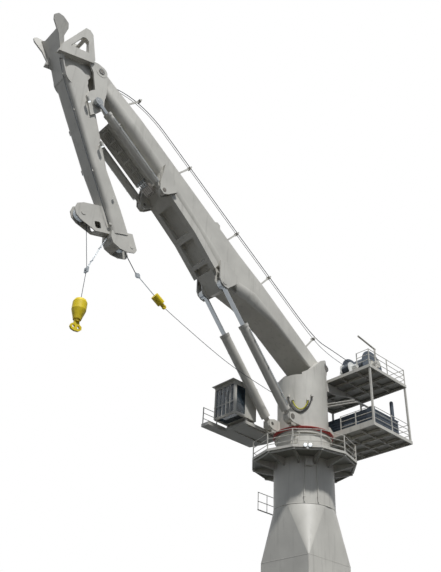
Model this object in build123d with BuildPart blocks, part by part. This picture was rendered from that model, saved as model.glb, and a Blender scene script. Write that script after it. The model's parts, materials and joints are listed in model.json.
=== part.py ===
from build123d import *
from math import atan2, cos, degrees, hypot, pi, radians, sin, tan
import os

os.makedirs("parts", exist_ok=True)

# Offshore knuckle boom crane, millimetres.
# +X is the way the boom points, +Y the crane's left side, +Z up.
# The origin is the middle of the pedestal's base, on the slewing axis.

# Pedestal
walkway_height = 7500
base_width = 3550
base_height = 1800
cone_height = 2900
pedestal_radius = 1800
pedestal_wall = 40
base_flange_width = 3950
base_flange_thickness = 60
base_bolt_radius = 26
base_bolts_per_side = 6
neck_radius = 1640
neck_height = 1500

# Walkway round the pedestal
walkway_radius = 3200
walkway_plate = 20
kick_plate_height = 150
rail_height = 1100
rail_radius = 21
post_width = 50

# Slewing ring and drive
fixed_ring_radius = 1750
ring_thickness = 120
turning_ring_radius = 1850
turning_ring_thickness = 170
ring_gap = 0.3
gear_module = 28
ring_teeth = 100
pinion_teeth = 20
pinion_angle = 135
pinion_shaft_radius = 90
running_fit = 0.1

# Slewing column
column_radius = 1580
column_wall = 60
column_rim = 5450
column_floor = 4900
column_cutter = 9000
slot_half_width = 1040
ear_radius = 500

# Boom, in its own frame: along the line from the foot pin to the knuckle pin
foot_x = -800
foot_z = 6550
knuckle_x = 18700
knuckle_z = 19150
foot_pin_radius = 170
knuckle_pin_radius = 150
foot_boss_radius = 550
tip_boss_radius = 450
keel_half_width = 950
keel_side = 500

# Jib, in its own frame: along the line from the knuckle pin to the tip
jib_angle = -111.2
jib_box_half_width = 650
cheek_inner = 620
cheek_thickness = 120

# Luffing cylinders
luff_foot_x = 2150
luff_foot_z = 2250
luff_pin_u = 8750
luff_pin_v = -2850
luff_spacing = 820
luff_barrel_radius = 290
luff_barrel_length = 6150
luff_rod_radius = 140
luff_rod_length = 6700
luff_eye_radius = 300
luff_eye_width = 320

# Knuckle cylinders
jack_foot_u = 15300
jack_foot_v = -2420
jack_pin_s = 2660
jack_pin_t = 910
jack_spacing = 950
jack_barrel_radius = 240
jack_barrel_length = 5450
jack_rod_radius = 110
jack_rod_length = 5300
jack_eye_radius = 260
jack_eye_width = 240

# Machinery decks behind the column
deck_front = -1400
deck_rear = -5300
deck_left = 4350
deck_right = -1800
lower_deck_level = 2150
upper_deck_level = 6050
deck_frame_depth = 200

# Cabin on the right side
cabin_rear = 2900
cabin_front = 4700
cabin_left = -1230
cabin_right = -3050
cabin_floor = 2300
cabin_roof = 4450

# Ropes and hoses
main_rope_radius = 26
whip_rope_radius = 18
hose_radius = 40

# Frames
level = Plane.XY.offset(walkway_height)
side = Plane(origin=(0, 0, walkway_height), x_dir=(1, 0, 0), z_dir=(0, -1, 0))
boom_length = hypot(knuckle_x - foot_x, knuckle_z - foot_z)
boom_slope = degrees(atan2(knuckle_z - foot_z, knuckle_x - foot_x))


def polar(length, angle):
    """A side view vector of this length and angle."""
    return length * cos(radians(angle)), length * sin(radians(angle))


def inclined(x, z, angle):
    """The side view plane whose origin is (x, z) above the walkway and whose x runs at this angle."""
    dx, dz = polar(1, angle)
    return Plane(origin=(x, 0, walkway_height + z), x_dir=(dx, 0, dz), z_dir=(0, -1, 0))


boom = inclined(foot_x, foot_z, boom_slope)
jib = inclined(knuckle_x, knuckle_z, jib_angle)


def side_point(frame, u, v, y=0):
    """The world point at (u, v) of a side view frame, y to the left."""
    return frame.from_local_coords(Vector(u, v, -y))


def outline(plane, points, thickness, both=False, mode=Mode.ADD, radius=0):
    """Extrudes a closed outline, with its corners rounded if a radius is given."""
    with BuildSketch(plane) as face:
        with BuildLine():
            Polyline(*points, close=True)
        make_face()
        if radius:
            fillet(face.vertices(), radius)
    extrude(face.sketch, amount=thickness, both=both, mode=mode)


def slab(frame, points, y_from, y_to, mode=Mode.ADD, radius=0):
    """A plate in a side view frame between two distances to the left."""
    outline(frame.offset(-y_from), points, y_from - y_to, mode=mode, radius=radius)


def boss(frame, u, v, radius, y_from, y_to, mode=Mode.ADD):
    """A round boss or bore across the crane."""
    with BuildSketch(frame.offset(-y_from)) as face:
        with Locations((u, v)):
            Circle(radius)
    extrude(face.sketch, amount=y_from - y_to, mode=mode)


def block(corner, opposite, mode=Mode.ADD):
    """A box between two corners, above the walkway."""
    low = [min(a, b) for a, b in zip(corner, opposite)]
    size = [abs(a - b) for a, b in zip(corner, opposite)]
    with Locations((low[0], low[1], low[2] + walkway_height)):
        Box(*size, align=(Align.MIN, Align.MIN, Align.MIN), mode=mode)


def rod(start, end, radius, mode=Mode.ADD):
    """A round bar between two world points."""
    axis = Vector(*end) - Vector(*start)
    with BuildSketch(Plane(origin=start, z_dir=axis)) as face:
        Circle(radius)
    extrude(face.sketch, amount=axis.length, mode=mode)


def bar(start, end, width, depth, up=(0, 0, 1)):
    """A flat or square bar between two world points."""
    axis = Vector(*end) - Vector(*start)
    across = axis.cross(Vector(*up))
    with BuildSketch(Plane(origin=start, x_dir=across, z_dir=axis)) as face:
        Rectangle(width, depth)
    extrude(face.sketch, amount=axis.length)


def save(piece, name):
    """Labels a finished piece and writes its file."""
    piece.part.label = name
    export_step(piece.part, f"parts/{name}.step")


# PEDESTAL

# Square trunk that turns into the round tube over four flats and four corner cones.
half_base = base_width / 2
flat_angle = 9


def transition_base(inset, height):
    """The square at the foot of the transition, its corners rounded by a small arc."""
    edge = half_base - inset
    corner = 60
    near = edge - corner
    mid = edge - 0.29 * corner
    with BuildSketch(Plane.XY.offset(height)) as face:
        with BuildLine():
            for turn in range(4):
                points = [(edge, near), (mid, mid), (near, edge), (-near, edge)]
                points = [Vector(*p).rotate(Axis.Z, 90 * turn) for p in points]
                ThreePointArc(*points[:3])
                Line(*points[2:])
        make_face()
    return face.sketch


def transition_top(inset, height):
    """The circle at the head of the transition, cut where the flats and the cones meet."""
    edge = pedestal_radius - inset
    with BuildSketch(Plane.XY.offset(height)) as face:
        with BuildLine():
            for turn in range(4):
                first = 90 * turn + flat_angle
                last = 90 * turn + 90 - flat_angle
                for angles in ((first, (first + last) / 2, last), (last, last + flat_angle, last + 2 * flat_angle)):
                    ThreePointArc(*[Vector(edge, 0).rotate(Axis.Z, a) for a in angles])
        make_face()
    return face.sketch


with BuildPart() as pedestal_trunk:
    outline(Plane.XY, [(x * base_flange_width / 2, y * base_flange_width / 2)
                       for x, y in ((1, 1), (-1, 1), (-1, -1), (1, -1))], base_flange_thickness)
    extrude(transition_base(0, 0), amount=base_height)
    for inset, how in ((0, Mode.ADD), (pedestal_wall, Mode.SUBTRACT)):
        ends = [transition_base(inset, base_height), transition_top(inset, base_height + cone_height)]
        loft(sections=ends, ruled=True, mode=how)
    extrude(transition_base(pedestal_wall, 0), amount=base_height, mode=Mode.SUBTRACT)
    bolt_line = (base_flange_width + base_width) / 4 + 10
    bolt_pitch = 2 * bolt_line / base_bolts_per_side
    with BuildSketch(Plane.XY) as holes:
        for turn in range(4):
            for place in range(base_bolts_per_side):
                spot = Vector(bolt_line, -bolt_line + place * bolt_pitch).rotate(Axis.Z, 90 * turn)
                with Locations((spot.X, spot.Y)):
                    Circle(base_bolt_radius)
    extrude(holes.sketch, amount=base_flange_thickness, mode=Mode.SUBTRACT)
save(pedestal_trunk, "pedestal_trunk")

# Round tube from the transition up to the slewing ring, with its seam ring and neck.
tube_foot = base_height + cone_height
neck_top = walkway_height + neck_height
with BuildPart() as pedestal_tube:
    with BuildSketch(Plane.XZ):
        with BuildLine():
            Polyline((pedestal_radius - pedestal_wall, tube_foot), (pedestal_radius, tube_foot),
                     (pedestal_radius + 15, tube_foot + 10), (pedestal_radius + 15, tube_foot + 50),
                     (pedestal_radius, tube_foot + 60), (pedestal_radius, walkway_height + 60),
                     (neck_radius, walkway_height + 160), (neck_radius, neck_top),
                     (fixed_ring_radius, neck_top), (fixed_ring_radius, neck_top + 60),
                     (neck_radius - 260, neck_top + 60), (neck_radius - 260, neck_top),
                     (neck_radius - pedestal_wall, neck_top),
                     (neck_radius - pedestal_wall, walkway_height + 140),
                     (pedestal_radius - pedestal_wall, walkway_height + 40), close=True)
        make_face()
    revolve(axis=Axis.Z)
save(pedestal_tube, "pedestal_tube")

# Junction box, cable pipes and the small access platform on the pedestal's side.
with BuildPart() as pedestal_fittings:
    for angle in (41, 66):
        direction = Vector(1, 0, 0).rotate(Axis.Z, angle)
        foot = direction * (pedestal_radius + 35)
        rod((foot.X, foot.Y, tube_foot + 90), (foot.X, foot.Y, walkway_height - 30), 35)
        for height in (tube_foot + 400, tube_foot + 1400, tube_foot + 2400):
            with Locations(Location((0, 0, height), (0, 0, angle))):
                with Locations((pedestal_radius + 35, 0, 0)):
                    Box(70, 110, 30)
    with Locations(Location((0, 0, walkway_height - 420), (0, 0, 50))):
        with Locations((pedestal_radius + 90, 0, 0)):
            Box(180, 420, 420)
    with BuildSketch(Plane.XY):
        Circle(pedestal_radius)
    extrude(amount=walkway_height, mode=Mode.SUBTRACT)
    # Pair of floodlights and their control box on a bracket that stands on the walkway.
    with Locations(Location((0, 0, walkway_height + walkway_plate), (0, 0, 56))):
        with Locations((neck_radius + 190, 0, 0)):
            Box(60, 60, 560, align=(Align.CENTER, Align.CENTER, Align.MIN))
        with Locations((neck_radius + 170, 0, 700)):
            Box(120, 300, 280)
        with Locations((neck_radius + 280, -150, 380), (neck_radius + 280, 150, 380)):
            Cylinder(110, 130, rotation=(0, 90, 0))
        with Locations((neck_radius + 215, 0, 380)):
            Box(70, 420, 60)
save(pedestal_fittings, "pedestal_fittings")

platform_drop = -2250
with BuildPart() as side_platform:
    block((-700, -pedestal_radius - 1150, platform_drop), (900, -1000, platform_drop + 60))
    for x in (-600, 800):
        with BuildSketch(Plane(origin=(x, 0, walkway_height + platform_drop), x_dir=(0, -1, 0),
                               z_dir=(1, 0, 0))) as gusset:
            with BuildLine():
                Polyline((1000, 0), (pedestal_radius + 1100, 0), (pedestal_radius + 1100, -120),
                         (1000, -900), close=True)
            make_face()
        extrude(gusset.sketch, amount=30)
    for x in (-675, 100, 875):
        rod((x, -pedestal_radius - 1125, walkway_height + platform_drop + 60),
            (x, -pedestal_radius - 1125, walkway_height + platform_drop + rail_height), rail_radius)
    for rise in (550, rail_height):
        rod((-700, -pedestal_radius - 1125, walkway_height + platform_drop + rise),
            (900, -pedestal_radius - 1125, walkway_height + platform_drop + rise), rail_radius)
    with BuildSketch(Plane.XY):
        Circle(pedestal_radius)
    extrude(amount=walkway_height, mode=Mode.SUBTRACT)
save(side_platform, "side_platform")

# WALKWAY

with BuildPart() as walkway_deck:
    with BuildSketch(level):
        RegularPolygon(walkway_radius, 12)
        RegularPolygon(walkway_radius - 12, 12, mode=Mode.SUBTRACT)
    extrude(amount=kick_plate_height)
    with BuildSketch(level):
        RegularPolygon(walkway_radius, 12)
        Circle(pedestal_radius, mode=Mode.SUBTRACT)
    extrude(amount=walkway_plate)
    for k in range(12):
        ray = Vector(1, 0, 0).rotate(Axis.Z, 30 * k)
        start = ray * (pedestal_radius - 60)
        with BuildSketch(Plane(origin=(start.X, start.Y, walkway_height), x_dir=(ray.X, ray.Y, 0),
                               z_dir=(ray.Y, -ray.X, 0))) as rib:
            with BuildLine():
                Polyline((0, 0), (walkway_radius - pedestal_radius, 0),
                         (walkway_radius - pedestal_radius, -110), (0, -480), close=True)
            make_face()
        extrude(rib.sketch, amount=8, both=True)
    with BuildSketch(level):
        RegularPolygon(walkway_radius - 120, 12)
        RegularPolygon(walkway_radius - 170, 12, mode=Mode.SUBTRACT)
    extrude(amount=-110)
    with BuildSketch(Plane.XY):
        Circle(pedestal_radius)
    extrude(amount=walkway_height + 60, mode=Mode.SUBTRACT)
save(walkway_deck, "walkway_deck")


def railing(points, floor, closed=False, posts=None):
    """Round rails from point to point, with square posts at the points or where they are asked for."""
    base = walkway_height + floor
    ends = points + points[:1] if closed else points
    for x, y in points if posts is None else posts:
        bar((x, y, base), (x, y, base + rail_height + rail_radius), post_width, post_width, up=(1, 0, 0))
    for (x0, y0), (x1, y1) in zip(ends, ends[1:]):
        for rise in (0.34 * rail_height, 0.67 * rail_height, rail_height):
            rod((x0, y0, base + rise), (x1, y1, base + rise), rail_radius)


rail_inset = 40
with BuildPart() as walkway_railing:
    spots = [Vector(walkway_radius - 12 - rail_inset, 0).rotate(Axis.Z, 30 * k) for k in range(12)]
    railing([(s.X, s.Y) for s in spots], walkway_plate, closed=True)
save(walkway_railing, "walkway_railing")

# Short inclined ladder that leans from the walkway to the slewing ring.
with BuildPart() as walkway_ladder:
    ladder_turn = 28
    with BuildSketch(Plane.XZ) as stringer:
        with BuildLine():
            Polyline((2450, walkway_height + walkway_plate), (2560, walkway_height + walkway_plate),
                     (1860, walkway_height + 1500), (1750, walkway_height + 1500), close=True)
        make_face()
    for shift in (-200, 215):
        extrude(stringer.sketch.moved(Location((0, shift, 0))), amount=15)
    for step in range(1, 5):
        share = step / 5
        with Locations((2505 - 700 * share, 0, walkway_height + walkway_plate + 1480 * share)):
            Box(110, 430, 20)
ladder = Part(walkway_ladder.part.rotate(Axis.Z, ladder_turn).wrapped)
ladder.label = "walkway_ladder"
export_step(ladder, "parts/walkway_ladder.step")

# SLEWING RING AND DRIVE

ring_level = walkway_height + neck_height + 60
gear_radius = gear_module * ring_teeth / 2
pinion_radius = gear_module * pinion_teeth / 2


def tooth_ring(count, pitch_radius, outward):
    """Straight-sided teeth on a pitch circle, pointing outwards or inwards."""
    reach = 0.85 * gear_module
    root = 1.05 * gear_module
    pitch = pi * gear_module
    sign = 1 if outward else -1
    tip_half = 0.12 * pitch
    base_half = 0.27 * pitch
    for k in range(count):
        turn = 360 * k / count
        corners_local = [(pitch_radius - sign * (root + 6), -base_half),
                         (pitch_radius + sign * reach, -tip_half),
                         (pitch_radius + sign * reach, tip_half),
                         (pitch_radius - sign * (root + 6), base_half)]
        tooth = [Vector(a, b).rotate(Axis.Z, turn) for a, b in corners_local]
        with BuildLine() as edge:
            Polyline(*tooth, close=True)
        make_face(edge.edges())


with BuildPart() as slew_bearing:
    with BuildSketch(Plane.XY.offset(ring_level)) as gear:
        Circle(fixed_ring_radius)
        Circle(gear_radius + 1.05 * gear_module, mode=Mode.SUBTRACT)
        tooth_ring(ring_teeth, gear_radius, False)
    extrude(gear.sketch, amount=ring_thickness)
save(slew_bearing, "slew_bearing")

pinion_orbit = gear_radius - pinion_radius
turning_level = ring_level + ring_thickness + ring_gap
gearbox_radius = 250
for name, turn in (("slew_pinion_left", pinion_angle), ("slew_pinion_right", -pinion_angle)):
    centre = Vector(pinion_orbit, 0).rotate(Axis.Z, turn)
    with BuildPart() as pinion:
        with BuildSketch(Plane(origin=(centre.X, centre.Y, ring_level + 10),
                               x_dir=(centre.X, centre.Y, 0), z_dir=(0, 0, 1))) as gear:
            Circle(pinion_radius - 1.05 * gear_module)
            tooth_ring(pinion_teeth, pinion_radius, True)
        extrude(gear.sketch, amount=ring_thickness - 20)
        rod((centre.X, centre.Y, ring_level + 10), (centre.X, centre.Y, turning_level + 300),
            pinion_shaft_radius)
    save(pinion, name)

turning_top = turning_level + turning_ring_thickness
with BuildPart() as slew_ring_turning:
    with BuildSketch(Plane.XZ) as section:
        with BuildLine():
            Polyline((620, turning_level), (turning_ring_radius - 60, turning_level),
                     (turning_ring_radius - 60, turning_level + 110),
                     (turning_ring_radius, turning_level + 120),
                     (turning_ring_radius, turning_top), (620, turning_top), close=True)
        make_face()
    revolve(section.sketch, axis=Axis.Z)
    for turn in (pinion_angle, -pinion_angle):
        centre = Vector(pinion_orbit, 0).rotate(Axis.Z, turn)
        rod((centre.X, centre.Y, turning_level - 5), (centre.X, centre.Y, turning_top + 5),
            pinion_shaft_radius + running_fit, mode=Mode.SUBTRACT)
save(slew_ring_turning, "slew_ring_turning")

with BuildPart() as slew_drives:
    for turn in (pinion_angle, -pinion_angle):
        centre = Vector(pinion_orbit, 0).rotate(Axis.Z, turn)
        rod((centre.X, centre.Y, turning_top), (centre.X, centre.Y, turning_top + 60), gearbox_radius + 40)
        rod((centre.X, centre.Y, turning_top + 60), (centre.X, centre.Y, turning_top + 620), gearbox_radius)
        rod((centre.X, centre.Y, turning_top + 620), (centre.X, centre.Y, turning_top + 1050), 150)
        rod((centre.X, centre.Y, turning_top - 5), (centre.X, centre.Y, turning_level + 330),
            pinion_shaft_radius + running_fit, mode=Mode.SUBTRACT)
save(slew_drives, "slew_drives")

# SLEWING COLUMN

column_foot = turning_top - walkway_height
pin_out = 1310
ear_outline = [(-column_radius - 40, column_floor), (column_radius + 40, column_floor),
               (column_radius + 40, column_rim - 30), (1250, column_rim + 100), (640, 5950), (-20, 6680),
               (foot_x + 250, foot_z + ear_radius - 70), (foot_x + 100, foot_z + ear_radius),
               (foot_x - 250, foot_z + ear_radius - 30), (foot_x - ear_radius, foot_z + 100),
               (-column_radius - 40, 5900)]
with BuildPart() as column_shell:
    with BuildSketch(Plane.XY.offset(turning_top)):
        Circle(column_radius + 60)
        Circle(column_radius - column_wall, mode=Mode.SUBTRACT)
    extrude(amount=50)
    with BuildSketch(Plane.XY.offset(turning_top)):
        Circle(column_radius)
        Circle(column_radius - column_wall, mode=Mode.SUBTRACT)
    extrude(amount=column_rim - column_foot)
    with BuildSketch(level.offset(column_floor)):
        Circle(column_radius)
    extrude(amount=-60)
    for turn in (1, -1):
        with BuildSketch(level.offset(column_floor)) as segment:
            Circle(column_radius)
            with Locations((0, -turn * (column_radius - slot_half_width))):
                Rectangle(2 * column_radius + 20, 2 * column_radius, mode=Mode.SUBTRACT)
        extrude(segment.sketch, amount=foot_z + ear_radius - column_floor + 50)
    with BuildSketch(side) as trimmed:
        with BuildLine():
            Polyline((-2500, 8500), (-2500, 5400), (-column_radius - 40, 5400), *ear_outline[:1:-1],
                     (column_radius + 40, 5400), (2500, 5400), (2500, 8500), close=True)
        make_face()
    extrude(trimmed.sketch, amount=2500, both=True, mode=Mode.SUBTRACT)
    for turn in (1, -1):
        boss(side, foot_x, foot_z, foot_pin_radius, turn * 1000, turn * 1600, mode=Mode.SUBTRACT)
        boss(side, foot_x, foot_z, foot_pin_radius + 130, turn * pin_out, turn * 1600, mode=Mode.SUBTRACT)
save(column_shell, "column_shell")

# Foot clevises of the luffing cylinders, welded to the column's front.
luff_ear = 80
luff_gap = 20
luff_inner = luff_spacing - luff_eye_width / 2 - luff_gap
luff_outer = luff_spacing + luff_eye_width / 2 + luff_gap
clevis_plates = [luff_inner - luff_ear, luff_inner, luff_outer, luff_outer + luff_ear]
luff_pin_radius = 110
with BuildPart() as cylinder_feet:
    for turn in (1, -1):
        for near in (clevis_plates[0], clevis_plates[2]):
            slab(side, [(900, column_foot + 50), (luff_foot_x - 60, column_foot + 50),
                        (luff_foot_x + 250, luff_foot_z - 200),
                        (luff_foot_x + 250, luff_foot_z + 200), (luff_foot_x - 150, luff_foot_z + 330),
                        (900, luff_foot_z + 330)],
                 turn * near, turn * (near + luff_ear))
    with BuildSketch(Plane.XY.offset(walkway_height)):
        Circle(column_radius)
    extrude(amount=column_cutter, mode=Mode.SUBTRACT)
    for turn in (1, -1):
        boss(side, luff_foot_x, luff_foot_z, luff_pin_radius, turn * (clevis_plates[0] - 10),
             turn * (clevis_plates[3] + 10), mode=Mode.SUBTRACT)
save(cylinder_feet, "cylinder_feet")

# Pins that stay in the column: the boom's foot pins and the cylinders' foot pins.
with BuildPart() as column_pins:
    for turn in (1, -1):
        boss(side, foot_x, foot_z, foot_pin_radius, turn * 700, turn * pin_out)
        boss(side, foot_x, foot_z, foot_pin_radius + 90, turn * pin_out, turn * (pin_out + 50))
        boss(side, luff_foot_x, luff_foot_z, luff_pin_radius, turn * clevis_plates[0],
             turn * clevis_plates[3])
        boss(side, luff_foot_x, luff_foot_z, luff_pin_radius + 50, turn * clevis_plates[3],
             turn * (clevis_plates[3] + 30))
save(column_pins, "column_pins")

# BOOM

# Sections: distance along, half width, top, foot of the web, half width of the bottom, bottom.
boom_sections = [(560, 1000, 150, -700, 900, -850), (4500, 1000, 180, -750, 780, -1100),
                 (6800, 970, 240, -900, 660, -1750), (8200, 890, 260, -1550, 600, -2400),
                 (9300, 850, 260, -1500, 590, -2350), (12200, 850, 260, -1150, 540, -1780),
                 (15700, 850, 260, -750, 480, -1380), (19600, 800, 320, -400, 430, -1050),
                 (22350, 560, 470, -200, 340, -680)]


def boom_section(along, half_width, top, web_foot, half_bottom, bottom):
    """The boom's cross-section: a box whose lower corners are rolled to a large radius."""
    origin = side_point(boom, along, 0)
    with BuildSketch(Plane(origin=origin, x_dir=(0, 1, 0), z_dir=boom.x_dir)) as face:
        with BuildLine():
            for turn in (1, -1):
                knee = (turn * (half_bottom + 0.72 * (half_width - half_bottom)),
                        web_foot + 0.66 * (bottom - web_foot))
                ThreePointArc((turn * half_width, web_foot), knee, (turn * half_bottom, bottom))
                Line((turn * half_width, web_foot), (turn * half_width, top))
            Line((half_width, top), (-half_width, top))
            Line((half_bottom, bottom), (-half_bottom, bottom))
        make_face()
    return face.sketch


keel_bottom = [(15900, -1880), (14750, -1990), (12150, -2190), (9200, -2790), (8450, -2980)]
keel_top = [(8150, -2350), (9200, -2790 + keel_side), (12150, -2190 + keel_side), (14750, -1990 + keel_side),
            (16300, -1250)]
pocket_ends = [(12400, 14300), (10500, 12000), (9800, 10250)]
pocket_half_width = 590


def keel_level(along):
    """The height of the ladder frame's underside at this distance along the boom."""
    for (far, far_level), (near, near_level) in zip(keel_bottom, keel_bottom[1:]):
        if near <= along <= far:
            return near_level + (far_level - near_level) * (along - near) / (far - near)


tray_level = -2150
tray_ends = (16350, 20350)
tray_hangers = (16600, 18400, 20000)
boom_hull_sections = [boom_section(*row) for row in boom_sections]
jack_inner = jack_spacing - jack_eye_width / 2 - 20
jack_outer = jack_spacing + jack_eye_width / 2 + 20
jack_plate = 80
jack_pin_radius = 90
with BuildPart() as boom_hull:
    for first, second in zip(boom_hull_sections, boom_hull_sections[1:]):
        loft(sections=[first, second], ruled=True)
    # Foot: two side lugs on one cross tube.
    outline(boom, [(0, foot_boss_radius), (580, 150), (580, -840), (0, -foot_boss_radius)], 1000, both=True)
    boss(boom, 0, 0, foot_boss_radius, 1000, -1000)
    # Tip: one broad lug for the knuckle pin.
    outline(boom,
            [(boom_length, tip_boss_radius), (22340, 470), (22340, -680), (boom_length, -tip_boss_radius)],
            560, both=True)
    boss(boom, boom_length, 0, tip_boss_radius, 560, -560)
    # Ladder frame under the belly, open in pockets between its ribs.
    outline(boom, keel_bottom + keel_top, keel_half_width, both=True)
    for near, far in pocket_ends:
        near_level, far_level = keel_level(near), keel_level(far)
        outline(boom, [(near, near_level + 330), (far, far_level + 330), (far, far_level - 120),
                       (near, near_level - 120)], pocket_half_width, both=True, mode=Mode.SUBTRACT)
    # Clevises of the luffing cylinders at the belly's heel.
    for turn in (1, -1):
        slab(boom, [(7750, luff_pin_v - 420), (9750, luff_pin_v - 420), (9750, -2000), (7750, -2000)],
             turn * luff_inner, turn * luff_outer, mode=Mode.SUBTRACT)
        for near in (clevis_plates[0], clevis_plates[2]):
            slab(boom,
                 [(8050, -1750), (8350, luff_pin_v - 130), (8600, luff_pin_v - 260), (8900, luff_pin_v - 260),
                        (9150, luff_pin_v - 120), (9900, -1900), (9300, -1450)],
                 turn * near, turn * (near + luff_ear))
        slab(boom, [(8150, -1900), (8700, -2000), (9500, -1980), (9500, -1500), (8400, -1500)],
             turn * 800, turn * (luff_outer + luff_ear))
        boss(boom, luff_pin_u, luff_pin_v, luff_pin_radius + 60, turn * (luff_outer + luff_ear),
             turn * (luff_outer + luff_ear + 25))
        # Foot brackets of the knuckle cylinders.
        for near in (jack_inner - jack_plate, jack_outer):
            slab(boom, [(14700, -1500), (14950, jack_foot_v + 60), (15120, jack_foot_v - 240),
                        (15480, jack_foot_v - 240), (15780, jack_foot_v + 120), (16500, -750), (15600, -900)],
                 turn * near, turn * (near + jack_plate))
        slab(boom, [(14700, -1600), (15700, -1700), (16500, -750), (15600, -900)], turn * 700,
             turn * (jack_outer + jack_plate))
        boss(boom, jack_foot_u, jack_foot_v, jack_pin_radius, turn * (jack_inner - jack_plate - 5),
             turn * (jack_outer + jack_plate + 5), mode=Mode.SUBTRACT)
    # Lifting lug on the top plate.
    slab(boom, [(11250, 230), (11450, 480), (11700, 480), (11850, 230)], 780, 840)
    boss(boom, 0, 0, foot_pin_radius + running_fit, 1010, -1010, mode=Mode.SUBTRACT)
    boss(boom, boom_length, 0, knuckle_pin_radius, 570, -570, mode=Mode.SUBTRACT)
    # Hangers of the pipe tray.
    for along in tray_hangers:
        slab(boom,
             [(along, -900), (along + 60, -900), (along + 60, tray_level + 40), (along, tray_level + 40)],
             380, -380)
save(boom_hull, "boom_hull")

# Pins that stay in the boom: the knuckle pin and the knuckle cylinders' foot pins.
pin_end = cheek_inner + cheek_thickness
with BuildPart() as boom_pins:
    boss(boom, boom_length, 0, knuckle_pin_radius, pin_end + 20, -pin_end - 20)
    for turn in (1, -1):
        boss(boom, boom_length, 0, knuckle_pin_radius + 60, turn * (pin_end + 20), turn * (pin_end + 45))
        boss(boom, jack_foot_u, jack_foot_v, jack_pin_radius, turn * (jack_inner - jack_plate),
             turn * (jack_outer + jack_plate))
        boss(boom, jack_foot_u, jack_foot_v, jack_pin_radius + 40, turn * (jack_outer + jack_plate),
             turn * (jack_outer + jack_plate + 25))
save(boom_pins, "boom_pins")

guide_places = [(1840, 950), (6900, 880), (10450, 830), (15600, 830), (20790, 640)]
guide_height = 1280


def guide_top(along):
    """The height of the boom's top plate under a rope guide."""
    if along < 8200:
        return 150 + 110 * along / 8200
    return 385 if along > 19600 else 260

# Tray that hangs between the knuckle cylinders, with hydraulic pipes clamped under it.
with BuildPart() as boom_tray:
    slab(boom, [(tray_ends[0], tray_level), (tray_ends[1], tray_level), (tray_ends[1], tray_level + 40),
                (tray_ends[0], tray_level + 40)], 620, -620)
    for y in (600, -620):
        slab(boom, [(tray_ends[0], tray_level - 70), (tray_ends[1], tray_level - 70),
                    (tray_ends[1], tray_level + 10),
                    (tray_ends[0], tray_level + 10)], y, y + 20)
    for y in (-330, -200, -70, 60, 190):
        rod(side_point(boom, tray_ends[0] - 250, tray_level - 45, y),
            side_point(boom, tray_ends[1] - 150, tray_level - 45, y), 32)
    for step in range(6):
        along = tray_ends[0] + 150 + step * 700
        slab(boom, [(along, tray_level), (along + 80, tray_level), (along + 80, tray_level - 95),
                    (along, tray_level - 95)], -400, 260)
save(boom_tray, "boom_tray")

# CYLINDERS


def barrel(frame, spacing, radius, length, rod_radius, eye_radius, eye_width, pin_radius, neck):
    """A cylinder barrel with its foot eye and neck, bored for the piston and the rod."""
    for turn in (1, -1):
        boss(frame, 0, 0, eye_radius, turn * (spacing - eye_width / 2), turn * (spacing + eye_width / 2))
        rod(side_point(frame, eye_radius * 0.7, 0, turn * spacing),
            side_point(frame, neck + 20, 0, turn * spacing),
            eye_width / 2 - 5)
        rod(side_point(frame, neck, 0, turn * spacing), side_point(frame, length, 0, turn * spacing), radius)
        rod(side_point(frame, length - 180, 0, turn * spacing), side_point(frame, length, 0, turn * spacing),
            radius + 25)
        rod(side_point(frame, neck + 90, 0, turn * spacing),
            side_point(frame, length - 200, 0, turn * spacing), radius - 50, mode=Mode.SUBTRACT)
        rod(side_point(frame, length - 300, 0, turn * spacing),
            side_point(frame, length + 10, 0, turn * spacing), rod_radius + running_fit, mode=Mode.SUBTRACT)
        boss(frame, 0, 0, pin_radius + running_fit, turn * (spacing - eye_width / 2 - 5),
             turn * (spacing + eye_width / 2 + 5), mode=Mode.SUBTRACT)


def piston_rod(frame, spacing, reach, length, radius, bore, eye_radius, eye_width, stub):
    """A piston rod: its head in the bore, its eye at the far end with a short pin stub."""
    for turn in (1, -1):
        rod(side_point(frame, reach - length, 0, turn * spacing),
            side_point(frame, reach - length + 160, 0, turn * spacing), bore - running_fit)
        rod(side_point(frame, reach - length, 0, turn * spacing),
            side_point(frame, reach - eye_radius * 0.7, 0, turn * spacing), radius)
        boss(frame, reach, 0, eye_radius, turn * (spacing - eye_width / 2), turn * (spacing + eye_width / 2))
        boss(frame, reach, 0, stub, turn * (spacing - eye_width / 2 - 12),
             turn * (spacing + eye_width / 2 + 12))


luff_pin = side_point(boom, luff_pin_u, luff_pin_v)
luff_dx = luff_pin.X - luff_foot_x
luff_dz = luff_pin.Z - walkway_height - luff_foot_z
luff_reach = hypot(luff_dx, luff_dz)
luff = inclined(luff_foot_x, luff_foot_z, degrees(atan2(luff_dz, luff_dx)))
with BuildPart() as luff_barrels:
    barrel(luff, luff_spacing, luff_barrel_radius, luff_barrel_length, luff_rod_radius, luff_eye_radius,
           luff_eye_width, luff_pin_radius, 480)
save(luff_barrels, "luff_barrels")
with BuildPart() as luff_rods:
    piston_rod(luff, luff_spacing, luff_reach, luff_rod_length, luff_rod_radius, luff_barrel_radius - 50,
               luff_eye_radius, luff_eye_width, 100)
save(luff_rods, "luff_rods")

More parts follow.
